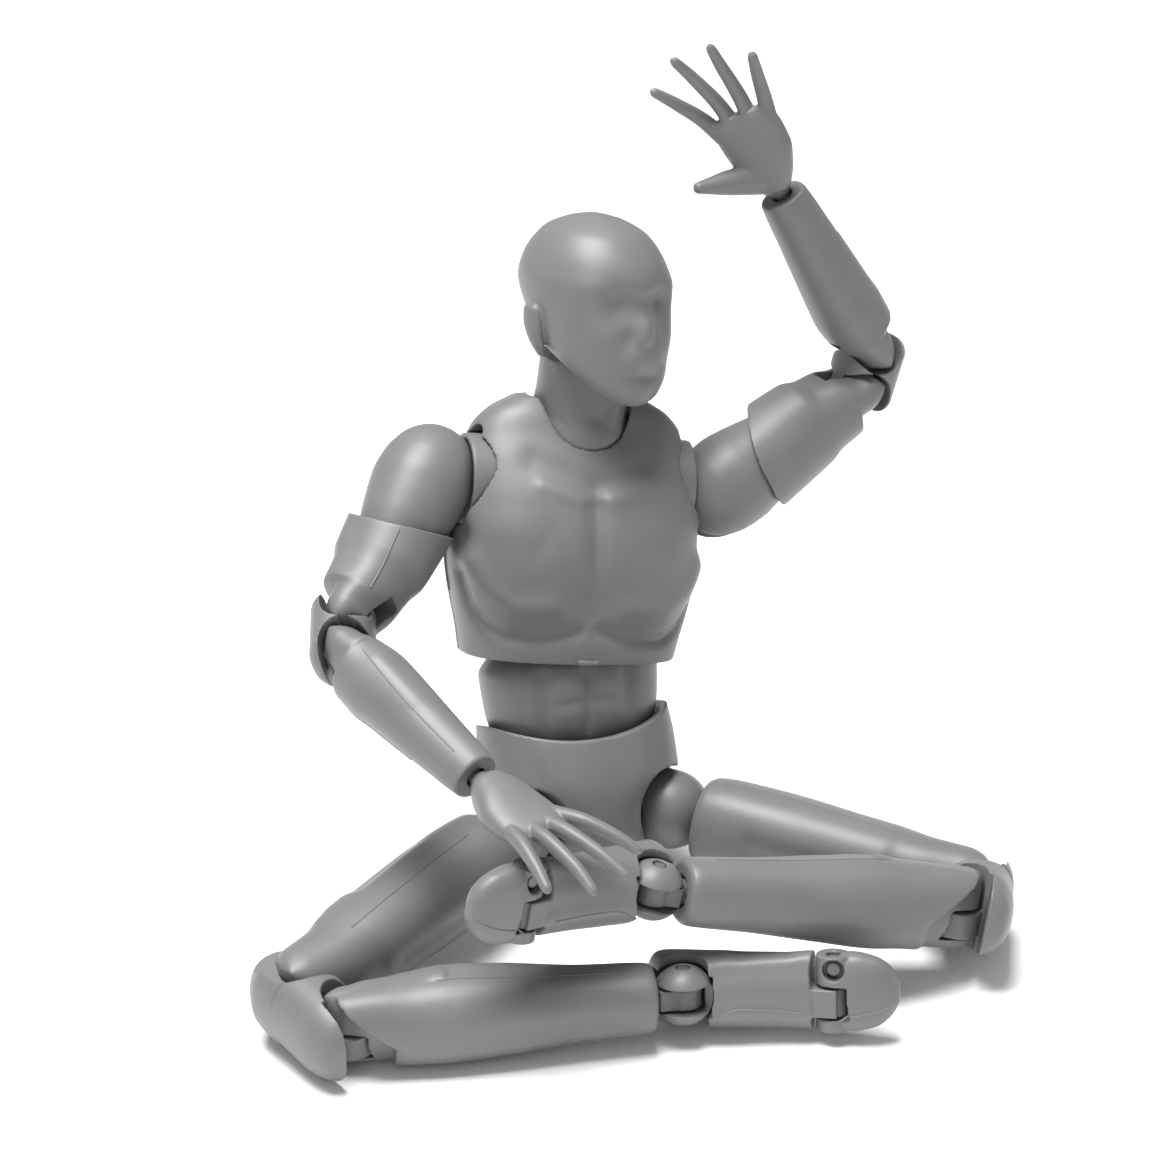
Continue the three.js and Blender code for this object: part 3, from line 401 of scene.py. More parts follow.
# Chest
# Two ABS shells, front and back, glued along the sides over the shoulder and neck joints. The
# collar and the armholes are open, the muscles are moulded in, and a ball on a peg sits below.
NECK_RISE = 23.2
CHEST_PEG = 4.8
SHOULDER_RISE = 18.2
SHOULDER_HALF = 7.6
DISC_RADIUS = 4.8
SEAM = 0.5
BIB = 6
chest_ball_place = hinged(abdomen_place, (0, 0, CHEST_RISE), "Y", 8)
chest_place = hinged(chest_ball_place, (0, 0, 0), "X", 5)
chest_ball = join(ball(CHEST_BALL), rod("Z", 0.8, 0, CHEST_PEG))
seat_moulding(moulded(chest_ball), "chest_ball", chest_ball_place, "joint_plastic")

BELOW_PECTORAL = [
    (1.2, -8.5, 3.1), (5, -8, 2), (9, -6.8, 2.1), (11, -5.7, 3.1), (12.9, -4.4, 5.2),
    (13.9, -3.5, 8.4),
]
trunk = relief(
    limb([
        (-0.6, 12, 8, 7.4),
        (2, 12.5, 8.4, 7.6),
        (6, 13.5, 8.7, 8),
        (10, 14.2, 9, 8.2),
        (13, 14.3, 8.9, 8.3),
        (17, 13.7, 8, 8.1),
        (21, 12.9, 6.1, 7.4),
        (24, 11.8, 4.2, 6.4),
        (26, 10.1, 3.2, 5.2),
        (27.6, 7.3, 2.2, 4.2),
    ], 2.5, 200),
    both_sides([
        ([(4, -8.9, 11), (8, -7.9, 9), (8, -7.6, 13)], 3.6, 0.5),
        ([(4.4, -8.6, 5.8), (8.4, -7.4, 5.6), (11, -5.9, 7.6), (12.2, -5, 10)], 1.5, 0.6),
        (BELOW_PECTORAL, 0.85, -0.6),
        ([(5.8, -6.8, 18.5), (4, -7.3, 18), (1.6, -7.8, 17.2)], 0.9, 0.2),
        ([(6.4, -5.2, 21), (3, -6.4, 20), (0.5, -7, 18.8)], 1.5, -0.35),
        ([(13.8, -3.4, 12.6)], 1.7, -0.9),
        ([(6.4, 8.3, 15.5)], 3.2, 0.6),
        ([(3.2, 8, 12), (6.5, 8, 10.2), (10, 7.4, 13)], 1, -0.3),
        ([(11, 6, 8), (12, 4, 13)], 2.4, 0.3),
    ]) + [
        ([(0, -8.8, 5), (0, -9, 11), (0, -8, 16.4)], 1.1, -0.6),
        ([(0, 8, 0), (0, 8.3, 14), (0, 6.6, 23)], 1.1, -0.8),
    ],
)
hollow = cut(
    limb([(-2, 10.8, 7.5, 6.9), (0.6, 10.4, 7.2, 6.6), (3.4, 8.2, 5.8, 5.4)], 2.3, 120),
    rod("Z", 2.1, 2, 4),
)
collar = (0, 1, NECK_RISE)
cut(
    trunk,
    hollow,
    ball(CHEST_BALL + GAP),
    rod("Z", 1.3, 0, CHEST_PEG + GAP, end_radius=2.3),
    ball(BIB + 0.2, collar, 72),
    limb([
        (NECK_RISE, BIB + 0.1, BIB - 0.9, BIB + 1.1),
        (NECK_RISE + 2, 5.8, 5.2, BIB + 1.2),
        (NECK_RISE + 4, 5.6, 5.5, BIB + 1.3),
        (NECK_RISE + 8, 5.6, 5.8, BIB + 1.6),
    ]),
    rod("Z", 1.5, NECK_RISE - 9.3, NECK_RISE, (0, 1, 0)),
)
for side in SIDES.values():
    hinge = Vector((side * SHOULDER_HALF, SEAM, SHOULDER_RISE))
    cut(
        trunk,
        rod("X", DISC_RADIUS + 0.5, side * 0.4, side * 9, hinge, around=72),
        rod("Z", 2.3, -3.3, 1.9, hinge),
        rod("X", 1.3, side * 2, side * 9, hinge + Vector((0, -0.6, DISC_RADIUS))),
    )
back_shell = trunk.copy()
back_shell.data = trunk.data.copy()
scene.collection.objects.link(back_shell)
common(trunk, slab((-20, 20), (-20, SEAM - 0.075), (-5, 40)))
common(back_shell, slab((-20, 20), (SEAM + 0.075, 20), (-5, 40)))
seat_moulding(moulded(trunk, 0.15, 3), "chest_front", chest_place, body="chest")
seat_moulding(moulded(back_shell, 0.15, 3), "chest_back", chest_place, body="chest")


# Neck
# A moulded column with a ball-shaped bib that turns inside the collar. It clicks over a ball
# whose long stem is pushed down into the chest.
HEAD_RISE = 8.6
NECK = 4.7
NECK_BALL = 2.5
HEAD_BALL = 2.6
head_at = (0, -1, HEAD_RISE)
neck_ball_place = hinged(chest_place, collar, "Z", 0)
neck_place = hinged(neck_ball_place, (0, 0, 0), "X", 11)
neck_ball = join(ball(NECK_BALL), rod("Z", 1.2, -9, 0))
seat_moulding(moulded(neck_ball), "neck_ball", neck_ball_place, "joint_plastic")

column = relief(
    limb([
        (0, NECK + 1.2, NECK + 1.2, NECK + 1.2),
        (3, NECK + 0.5, NECK + 0.3, NECK + 0.5),
        (6, NECK + 0.2, NECK - 0.1, NECK + 0.4),
        (HEAD_RISE + 0.6, NECK + 0.2, NECK - 0.3, NECK + 0.3),
    ]),
    both_sides([
        ([(3.6, -2.6, 9), (2.6, -4, 4), (1.4, -5, 1)], 0.9, 0.3),
    ]),
)
neck = cut(
    join(ball(BIB, around=72), column),
    ball(NECK_BALL + GAP),
    rod("Z", 1.9, -2, -BIB - 1, end_radius=4.2),
    ball(HEAD_BALL + GAP, head_at),
)
seat_moulding(moulded(neck, 0.18), "neck", neck_place)


# Head
# A hollow egg with a blank face: shallow eye hollows, a low nose and small ears. It clicks on a
# ball at the top of the neck.
HEAD_HALF = 7.7
CROWN = 16.4
head_ball_place = hinged(neck_place, head_at, "Z", 20)
head_place = hinged(head_ball_place, (0, 0, 0), "X", -5)
head_ball = join(ball(HEAD_BALL), rod("Z", 1.2, 0, 5))
seat_moulding(moulded(head_ball), "head_ball", head_ball_place, "joint_plastic")

head = limb([
    (-2.7, 1.8, 9, -6.4),
    (-1.8, 3.5, 9.7, -4.4),
    (0.2, 5.2, 9.9, -0.6),
    (2.6, 6.4, 9.8, 4.6),
    (6, HEAD_HALF - 0.5, 9.6, 7.6),
    (9.4, HEAD_HALF, 9.4, 9),
    (CROWN - 5, HEAD_HALF - 0.5, 8.4, 8.6),
    (CROWN - 2, HEAD_HALF - 2.4, 6, 6.6),
    (CROWN - 0.5, HEAD_HALF - 5, 3, 3.6),
    (CROWN, HEAD_HALF - 7, 0.9, 1.3),
], 2.1, 120)
relief(head, both_sides([
    ([(2.9, -9, 8.3)], 2.1, -1),
    ([(0.6, -9.8, 8.8), (3.4, -8.6, 8.8)], 2, -0.3),
    ([(2, -9.4, 11.8)], 2.2, 0.15),
    ([(4.9, -8, 4.4)], 2.2, 0.25),
    ([(6.2, -3.5, 1.4), (4.6, -7, -0.8)], 1.4, 0.15),
    ([(6.8, -3.6, 9)], 2, -0.2),
    ([(1.9, -9.6, 4.6)], 1, -0.35),
]) + [
    ([(0, -9.6, 6), (0, -10.3, 5.2)], 1, 0.55),
    ([(-0.7, -10.4, 4.7), (0.7, -10.4, 4.7)], 1, 0.6),
    ([(-1.4, -9.9, 2.4), (1.4, -9.9, 2.4)], 1.3, 0.45),
    ([(-1.6, -9.8, 0.6), (1.6, -9.8, 0.6)], 0.8, -0.25),
    ([(0, -9.4, -1.4)], 1.6, 0.3),
])
for side in SIDES.values():
    ear = limb([
        (1.2, 0.3, 0.3, 0.6, side * (HEAD_HALF - 1.4)),
        (2.8, 0.6, 0.7, 1.5, side * (HEAD_HALF - 0.8)),
        (5, 0.7, 0.8, 2.1, side * (HEAD_HALF - 0.3)),
        (6.4, 0.7, 0.5, 2, side * (HEAD_HALF - 0.2)),
        (7, 0.3, 0.2, 1.2, side * (HEAD_HALF - 0.4)),
    ], 2, 24)
    join(head, ear)
cut(
    head,
    rod("Z", NECK + 0.6, 0.9, -4, (0, 1, 0), end_radius=NECK + 1.3),
    ball(HEAD_BALL + GAP),
    rod("Z", 1.5, 0, 5.3, end_radius=2.9),
)
seat_moulding(moulded(head, 0.16, 5), "head", head_place)


# Shoulder blocks and swivels
# A hinge barrel inside the chest carries a round disc that fills the armhole. A peg turns in the
# disc and ends in a flat round tongue inside the deltoid.
SHOULDER_REACH = 9.3
DELTOID = 5.4
TONGUE_HALF = 0.95
TONGUE_RADIUS = 2.3
SMALL_BORE = 0.75


def pair(shape):
    """The left piece and its mirror image."""
    other = shape.copy()
    other.data = shape.data.copy()
    scene.collection.objects.link(other)
    other.data.transform(Matrix.Diagonal((-1, 1, 1, 1)))
    other.data.flip_normals()
    return {"left": shape, "right": other}


def seat_pair(shape, part, places, slot="body_plastic"):
    """Seats the left and the right moulding of a part."""
    for word, piece in pair(shape).items():
        seat_moulding(piece, f"{word}_{part}", places[word], slot)


def hung(parents, axis, degrees, at=(0, 0, 0)):
    """The frames of a left and a right piece; their place and turns mirror each other."""
    frames = {}
    for word, side in SIDES.items():
        mirror = 1 if axis == "X" else -side
        hinge = (side * at[0], at[1], at[2])
        frames[word] = hinged(parents[word], hinge, axis, mirror * degrees[word])
    return frames


block_turn = {"right": 0, "left": 5}
swing = {"right": -32, "left": -13}
shoulder_at = (SHOULDER_HALF, SEAM, SHOULDER_RISE)
block_place = hung({word: chest_place for word in SIDES}, "Z", block_turn, shoulder_at)
swivel_place = hung(block_place, "X", swing, (SHOULDER_REACH, 0, 0))
block = cut(
    join(
        rod("Z", 2, -3, 1.6),
        rod("X", 1.8, 0.7, 2, end_radius=4.6, around=72),
        rod("X", DISC_RADIUS + 0.25, 1.8, 5.2, around=72),
    ),
    ball(DELTOID + 0.7, (SHOULDER_REACH, 0, 0), 96),
    rod("X", 1.4, 0, 4.5),
)
swivel = cut(
    join(rod("X", 1.1, 0.8 - SHOULDER_REACH, -1.6), rod("Y", TONGUE_RADIUS, -TONGUE_HALF, TONGUE_HALF)),
    rod("Y", SMALL_BORE, -2, 2),
)
seat_pair(moulded(block, 0.15), "shoulder_block", block_place)
seat_pair(moulded(swivel, 0.12), "shoulder_swivel", swivel_place, "joint_plastic")


# Deltoids
# An egg with a slot over the top for the tongue, pinned from front to back, and a short peg for
# the upper arm to turn on.
DELTOID_LENGTH = 9.5
arm_raise = {"right": 30, "left": 128}
deltoid_place = hung(swivel_place, "Y", arm_raise)


def turned(profile, around=72):
    """A solid of revolution about Z from [radius, z] pairs, from the top down, made smooth."""
    table = np.array(profile[::-1], float)
    run = np.concatenate([[0], np.cumsum(np.linalg.norm(np.diff(table, axis=0), axis=1))])
    rows = smooth_rows(run, table, np.linspace(0, run[-1], 48))
    angle = np.linspace(0, 2 * np.pi, around, endpoint=False)
    rings = []
    for radius, z in rows:
        radius = max(radius, 0.02)
        ring = [radius * np.cos(angle), radius * np.sin(angle), np.full(around, z)]
        rings.append(np.stack(ring, axis=1))
    return skin(np.array(rings))


def deltoid_egg(grow):
    return turned([
        (0, 6 + grow),
        (2.4 + grow / 2, 5.5 + grow),
        (3.9 + grow, 4.3 + grow / 2),
        (4.9 + grow, 2.6),
        (DELTOID + grow, 0.5),
        (DELTOID + 0.1 + grow, -1.4),
        (5.2 + grow, -3.6),
        (4.8 + grow, -5.6),
        (4.3 + grow, -7.6),
        (3.4 + grow, -DELTOID_LENGTH - grow),
        (0, -DELTOID_LENGTH - grow - 0.05),
    ])


def prism(corners, near, far):
    """A prism along Y over a polygon of (x, z) corners."""
    count = len(corners)
    points = [(x, near, z) for x, z in corners] + [(x, far, z) for x, z in corners]
    faces = [tuple(range(count)), tuple(range(2 * count - 1, count - 1, -1))]
    faces += [((i + 1) % count, i, i + count, (i + 1) % count + count) for i in range(count)]
    return solid(points, faces)


def fan(radius, start, end, half):
    """A wedge of a disc about Y, between two angles counted from the inner side over the top."""
    angles = np.radians(np.linspace(180 - end, 180 - start, 40))
    rim = [(radius * math.cos(a), radius * math.sin(a)) for a in angles]
    return prism([(0, 0)] + rim, -half, half)


deltoid = cut(
    join(deltoid_egg(0), rod("Z", 1.6, -DELTOID_LENGTH - 3.4, 1 - DELTOID_LENGTH)),
    fan(DELTOID + 2, -20, 160, TONGUE_HALF + 0.35),
    rod("Y", TONGUE_RADIUS + GAP, -TONGUE_HALF - 0.45, TONGUE_HALF + 0.45),
    rod("Y", SMALL_BORE, -3.8, 3.8),
)
seat_pair(moulded(deltoid, 0.15, 5), "deltoid", deltoid_place)


# Upper arms
# A cuff over the deltoid's lower end, cut higher on the inner side, and a fork for the elbow
# whose ears run smoothly out of the arm. The pins are pressed in from a blind side.
UPPER_ARM = 18.8
ARM = 4.9
EAR = 2.5
ELBOW_HALF = 4.3
ELBOW_TONGUE = 1.1
ELBOW_RISE = 1.2
PIN_COVER = 0.4
BORE = 0.9
arm_turn = {"right": 60, "left": -63}
upper_arm_place = hung(deltoid_place, "Z", arm_turn)
elbow_at = (0, 0, -UPPER_ARM)


def round_end(pin, way, half, ear, front, back):
    """Sections of the rounded end of a fork about its pin."""
    ends = []
    for share in (0.25, 0.5, 0.7, 0.85, 0.95, 1):
        left = math.sqrt(1 - share * share)
        height, width = pin + way * ear * share, half - 0.6 * share ** 2
        ends.append((height, width, max(front * left, 0.25), max(back * left, 0.25)))
    return ends


upper_arm = relief(
    limb([
        (-3.2, ARM + 0.8, ARM + 0.8, ARM + 0.8),
        (-6, ARM + 0.6, ARM + 0.6, ARM + 0.6),
        (-9, ARM + 0.3, ARM + 0.4, ARM + 0.4),
        (-12, ARM - 0.1, ARM + 0.2, ARM + 0.2),
        (5 - UPPER_ARM, ELBOW_HALF + 0.3, ELBOW_HALF, ELBOW_HALF + 0.2),
        (ELBOW_RISE + 0.9 - UPPER_ARM, ELBOW_HALF + 0.2, EAR + 1.2, ELBOW_HALF),
        (ELBOW_RISE + 0.4 - UPPER_ARM, ELBOW_HALF + 0.1, EAR + 0.8, EAR),
        (-UPPER_ARM, ELBOW_HALF, EAR, EAR),
        *round_end(-UPPER_ARM, -1, ELBOW_HALF, EAR, EAR, EAR),
    ], 2.3),
    [
        ([(0, -5, -9), (0, -4.8, -13)], 2.6, 0.25),
        ([(4.4, 2, -11), (4.2, 1.4, -15)], 1.4, -0.2),
    ],
)
above = slab((-15, 15), (-15, 15), (0, 20))
above.data.transform(Matrix.Translation((0, 0, -6.5)) @ Matrix.Rotation(math.atan(0.6), 4, "Y"))
slot = ELBOW_TONGUE + GAP
pin_reach = ELBOW_HALF - PIN_COVER
cut(
    upper_arm,
    above,
    deltoid_egg(GAP),
    rod("Z", 1.9, -DELTOID_LENGTH - 3.7, -DELTOID_LENGTH),
    rod("X", EAR + GAP, -slot, slot, elbow_at),
    slab((-slot, slot), (-9, 9), (-UPPER_ARM - 9, -UPPER_ARM)),
    slab((-slot, slot), (-9, 0), (-UPPER_ARM, -UPPER_ARM + EAR + GAP)),
    slab((-slot, slot), (EAR, 9), (-UPPER_ARM, ELBOW_RISE + 0.4 - UPPER_ARM)),
    rod("X", BORE, -pin_reach, pin_reach, elbow_at),
)
seat_pair(moulded(upper_arm, 0.13, 5), "upper_arm", upper_arm_place)


# Elbow links
# A flat tongue with a pin bore at each end, and a cap over the back of both pins that is hollowed
# round the ears of both forks and comes to a point between them.
ELBOW_GAP = 5.4
elbow_upper = {"right": -24, "left": -43}
elbow_place = hung(upper_arm_place, "X", elbow_upper, elbow_at)


def double_hinge(facing, span, ear, cap, rise, half, tongue, shift, point, lower_ear):
    """A cap facing the back (1) or the front (-1) over a tongue with two pin bores."""
    stations = []
    for pin, way in ((0, 1), (-span, -1)):
        stations += [
            (pin + way * rise, half - 2.6, cap - 1.9),
            (pin + way * rise * 0.9, half - 1.5, cap - 1),
            (pin + way * rise * 0.6, half - 0.5, cap - 0.35),
            (pin, half, cap),
        ]
    body = limb([(z, x, point, out) if facing > 0 else (z, x, out, point) for z, x, out in stations], 2.3)
    low, high = shift - tongue, shift + tongue
    for edge, outside in ((low, -12), (high, 12)):
        for pin, size in ((0, ear), (-span, lower_ear)):
            cut(body, rod("X", size + GAP, edge, outside, (0, 0, pin)))
    clear = (-12, ear + GAP) if facing > 0 else (-ear - GAP, 12)
    cut(body, slab((-12, 12), clear, (0, 12)), slab((-12, 12), clear, (-span - 12, -span)))
    join(
        body,
        rod("X", ear - 0.1, low, high),
        rod("X", ear - 0.1, low, high, (0, 0, -span)),
        slab((low, high), (0.1 - ear, ear - 0.1), (-span, 0)),
    )
    return cut(body, rod("X", BORE, -12, 12), rod("X", BORE, -12, 12, (0, 0, -span)))


ELBOW_CAP = 4.3
elbow = double_hinge(
    1, ELBOW_GAP, EAR - 0.1, ELBOW_CAP, ELBOW_RISE + 0.6, ELBOW_HALF, ELBOW_TONGUE, 0, 2.4, EAR - 0.1
)
seat_pair(moulded(elbow, 0.11), "elbow_link", elbow_place)


# Forearms
# A moulded fork at the elbow, held by the link's lower pin, and a taper to the wrist with a bore
# for the wrist peg.
FOREARM_LENGTH = 22.5
FOREARM = 3.7
WRIST = 2.5
WRIST_PEG = 0.8
elbow_lower = {"right": -39, "left": -50}
forearm_place = hung(elbow_place, "X", elbow_lower, (0, 0, -ELBOW_GAP))
forearm = relief(
    limb([
        *round_end(0, 1, ELBOW_HALF - 0.2, EAR, EAR, EAR),
        (0, ELBOW_HALF - 0.2, EAR, EAR),
        (-ELBOW_RISE - 0.4, FOREARM + 0.5, EAR + 0.7, EAR),
        (-ELBOW_RISE - 0.9, FOREARM + 0.4, FOREARM - 0.3, FOREARM + 0.2),
        (-5, FOREARM + 0.3, FOREARM + 0.1, FOREARM + 0.3),
        (-7, FOREARM + 0.1, FOREARM, FOREARM + 0.1),
        (-11, FOREARM - 0.3, FOREARM - 0.3, FOREARM - 0.2),
        (-16, WRIST + 0.5, WRIST + 0.5, WRIST + 0.6),
        (1.4 - FOREARM_LENGTH, WRIST, WRIST + 0.1, WRIST + 0.1),
        (1.1 - FOREARM_LENGTH, WRIST - 0.15, WRIST - 0.05, WRIST - 0.05),
    ], 2.2),
    [
        ([(3.9, -1, -5), (3.4, -0.6, -11)], 1.4, 0.2),
        ([(-3.8, 1.6, -4), (-3.2, 2, -12)], 0.9, -0.2),
    ],
)
cut(
    forearm,
    rod("X", EAR + GAP, -slot, slot),
    slab((-slot, slot), (-9, 9), (0, 9)),
    slab((-slot, slot), (-9, 0), (-EAR - GAP, 0)),
    slab((-slot, slot), (EAR, 9), (-ELBOW_RISE - 0.4, 0)),
    rod("X", BORE, 0.2 - pin_reach, pin_reach - 0.2),
    rod("Z", WRIST_PEG + GAP, -FOREARM_LENGTH, 4.9 - FOREARM_LENGTH),
)
seat_pair(moulded(forearm, 0.13, 5), "forearm", forearm_place)


# Wrist pegs and hands
# A small ball on a peg turns in the forearm. The hand is one thin moulding with spread fingers,
# and clips over the ball.
WRIST_BALL = 1.3
wrist_turn = {"right": 25, "left": -39}
hand_bend = {"right": 6, "left": 0}
wrist_place = hung(forearm_place, "Z", wrist_turn, (0, 0, -FOREARM_LENGTH))
hand_place = hung(wrist_place, "Y", hand_bend)
peg = join(ball(WRIST_BALL), rod("Z", WRIST_PEG, 0, 4.6))
seat_pair(moulded(peg, 0.1), "wrist_peg", wrist_place, "joint_plastic")


def finger(line, radii):
    """Round sections along a bent line: points are along, across towards the thumb, inward."""
    line = np.array([(-inward, -across, -along) for along, across, inward in line], float)
    run = np.concatenate([[0], np.cumsum(np.linalg.norm(np.diff(line, axis=0), axis=1))])
    rows = smooth_rows(run, np.column_stack([line, radii]), np.linspace(0, run[-1], 30))
    path, radius = rows[:, :3], rows[:, 3]
    along = np.gradient(path, axis=0)
    along /= np.linalg.norm(along, axis=1)[:, None]
    across = np.cross([1, 0, 0], along)
    across /= np.linalg.norm(across, axis=1)[:, None]
    other = np.cross(along, across)
    tip = np.sqrt(np.clip(1 - np.clip((np.linspace(0, 1, 30) - 0.93) / 0.07, 0, 1) ** 2, 0.02, 1))
    angle = np.linspace(0, 2 * np.pi, 24, endpoint=False)[None, :, None]
    size = (radius * tip)[:, None, None]
    return skin(path[:, None] + size * (across[:, None] * np.cos(angle) + other[:, None] * np.sin(angle)))


FINGERS = [
    [(7.6, 2.5, 0), (10.8, 4, -0.5), (13.6, 5.4, -0.1), (16.9, 6.9, 0.9)],
    [(7.6, 0.9, 0), (11.6, 1.5, -0.6), (15.4, 2.3, -0.2), (19.5, 3.1, 0.9)],
    [(7.6, -0.9, 0), (11.6, -1, -0.6), (15.4, -1, -0.2), (19.4, -1.3, 0.9)],
    [(7, -2.6, 0), (10.4, -3.4, -0.4), (13.4, -4.1, 0), (16.7, -5, 0.8)],
]
THUMB = [(2, 1.2, 0.6), (3.6, 3.6, 2), (5, 5.4, 3.6), (6.1, 6.7, 4.9)]
hand = limb([
    (0.3, 1.3, 1.4, 1.4),
    (-1, 2, 2.2, 2.3),
    (-2.6, 2, 2.9, 3.1),
    (-5, 1.7, 3.3, 3.9),
    (-7.4, 1.4, 3.5, 4),
    (-9.2, 1.1, 3.4, 3.6),
    (-10, 0.6, 3, 3.1),
], 2.4)
fingers = [finger(line, [1, 0.84, 0.72, 0.52]) for line in FINGERS]
join(hand, *fingers, finger(THUMB, [1.7, 1.45, 0.95, 0.55]))
cut(hand, ball(WRIST_BALL + GAP), rod("Z", 1.2, 0, 4, end_radius=3.2))
seat_pair(moulded(hand, 0.12), "hand", hand_place)


# Hip posts and balls
# A peg pushed into the pelvis ends in a flat tongue inside the slotted hip ball. The ball's own
# peg carries the thigh.
hip_bend = {"right": -52, "left": -62}
hip_spread = {"right": 57, "left": 46}
HIP_BALL_DROP = 0.7
post_place = hung({word: pelvis_place for word in SIDES}, "X", hip_bend, (HIP_HALF, 0, 0))
hip_ball_place = hung(post_place, "Y", hip_spread)
post = join(rod("X", 1.1, -7.4, -1.6), rod("Y", TONGUE_RADIUS, -TONGUE_HALF, TONGUE_HALF))
seat_pair(moulded(post, 0.12), "hip_post", post_place, "joint_plastic")
hip_ball = cut(
    join(ball(HIP_BALL), ball(HIP_BALL, (0, 0, -HIP_BALL_DROP)), rod("Z", 1.5, -9.5, 0)),
    fan(HIP_BALL + 2, 14, 118, TONGUE_HALF + 0.35),
    rod("Y", TONGUE_RADIUS + GAP, -TONGUE_HALF - 0.45, TONGUE_HALF + 0.45),
)
seat_pair(moulded(hip_ball, 0.16), "hip_ball", hip_ball_place)


# Thighs
# A hollow top over the hip ball, long muscles moulded in, and a fork at the knee. Its two deep
# cheeks stand on each side of a recess for the knee cap.
THIGH_LENGTH = 34
THIGH = 5
KNEE_EAR = 2.9
KNEE_WALL = 2.7
KNEE_FRONT = 4.6
KNEE_HALF = 4.5
KNEE_TONGUE = 1.4
KNEE_SHIFT = 1.3
KNEE_RISE = 4
thigh_turn = {"right": -97, "left": -107}
thigh_place = hung(hip_ball_place, "Z", thigh_turn)
knee_at = (0, 0, -THIGH_LENGTH)
knee_slot = (KNEE_SHIFT - KNEE_TONGUE - GAP, KNEE_SHIFT + KNEE_TONGUE + GAP)
knee_pin_reach = KNEE_HALF - PIN_COVER
thigh = relief(
    limb([
        (-4.7, THIGH - 0.7, THIGH - 0.7, THIGH - 0.7),
        (-5.4, THIGH - 0.3, THIGH - 0.3, THIGH - 0.3),
        (-8, THIGH, THIGH, THIGH),
        (-14, THIGH + 0.1, THIGH + 0.4, THIGH + 0.2),
        (-21, THIGH - 0.1, THIGH + 0.3, THIGH - 0.2),
        (-26, THIGH - 0.3, THIGH + 0.2, KNEE_EAR + 1.5),
        (KNEE_RISE + 2.5 - THIGH_LENGTH, KNEE_HALF + 0.1, THIGH - 0.1, KNEE_EAR + 1.1),
        (KNEE_RISE - THIGH_LENGTH, KNEE_HALF, KNEE_FRONT, KNEE_EAR + 0.8),
        (1.6 - THIGH_LENGTH, KNEE_HALF, KNEE_FRONT, KNEE_EAR + 0.3),
        (-THIGH_LENGTH, KNEE_HALF, KNEE_FRONT, KNEE_EAR),
        *round_end(-THIGH_LENGTH, -1, KNEE_HALF, KNEE_EAR, KNEE_FRONT, KNEE_EAR),
    ], 2.3),
    both_sides([
        ([(3.2, -4.6, -24), (3.4, -4, -28)], 1.6, 0.35),
    ]) + [
        ([(0, -5.4, -10), (0, -5.4, -20)], 2.4, 0.25),
        ([(3.6, -4, -12), (4.2, -3.2, -22)], 1, -0.25),
        ([(-3.6, -4, -12), (-3.8, -3.6, -22)], 1, -0.25),
        ([(0, 5, -12), (0, 4.6, -24)], 1, -0.3),
    ],
)


def forked(body, knee, way):
    """Cuts the slot, the bore and the blind pin hole of a fork at the knee."""
    past = sorted((knee, knee + way * 9))
    bend = sorted((knee, knee - way * (KNEE_EAR + GAP)))
    at = (0, 0, knee)
    return cut(
        body,
        rod("X", KNEE_EAR + GAP, *knee_slot, at),
        slab(knee_slot, (-9, 9), past),
        slab(knee_slot, (0, 9), bend),
        rod("X", BORE, -knee_pin_reach, knee_pin_reach, at),
    )


cut(
    thigh,
    ball(HIP_BALL + GAP, (0, 0, -HIP_BALL_DROP)),
    rod("Z", 1.8, -9.8, 0),
    slab((-KNEE_WALL, KNEE_WALL), (-12, 0.1 - KNEE_EAR), (-THIGH_LENGTH - 9, -THIGH_LENGTH)),
    cut(
        slab((-KNEE_WALL, KNEE_WALL), (-12, -0.2), (-THIGH_LENGTH, 6.8 - THIGH_LENGTH)),
        rod("X", KNEE_EAR, -9, 9, knee_at),
    ),
)
forked(thigh, -THIGH_LENGTH, -1)
seat_pair(moulded(thigh, 0.16, 5), "thigh", thigh_place)


# Knee links
# The same double hinge as the elbow's, larger, with its cap over the front like a helmet that
# clears the thigh's cheeks. The cap is notched at its lower inner corner for the shin's boss.
KNEE_GAP = 6.8
KNEE_NOTCH = -0.8
KNEE_CAP = 6.1
SHIN_EAR = 2.4
knee_upper = {"right": 75, "left": 74}
knee_place = hung(thigh_place, "X", knee_upper, knee_at)
knee = double_hinge(
    -1, KNEE_GAP, KNEE_EAR, KNEE_CAP, KNEE_RISE + 0.4, KNEE_HALF + 0.1, KNEE_TONGUE, KNEE_SHIFT, 2, SHIN_EAR
)
dome = limb([
    (-1.6, KNEE_HALF + 0.1, KNEE_CAP, 0.6),
    (0, KNEE_HALF + 0.1, KNEE_CAP + 0.05, 0.6),
    (1.4, KNEE_HALF, KNEE_CAP, 0.6),
    (2.8, KNEE_HALF - 0.6, 5.6, 0.6),
    (4, KNEE_HALF - 1.5, 4.8, 0.6),
    (5, KNEE_HALF - 2.5, 3.8, 0.6),
    (5.5, KNEE_HALF - 3.5, 2.8, 0.6),
], 2.4)
cut(
    dome,
    rod("X", KNEE_EAR + GAP, -9, 9),
    slab((-9, 9), (-0.5, 12), (-12, 12)),
    slab((KNEE_WALL - 0.05, 9), (-KNEE_FRONT - GAP, 12), (0, 12)),
    slab((-9, 0.05 - KNEE_WALL), (-KNEE_FRONT - GAP, 12), (0, 12)),
)
cut(knee, slab((-12, 12), (-12, 12), (0, 12)))
join(knee, dome)
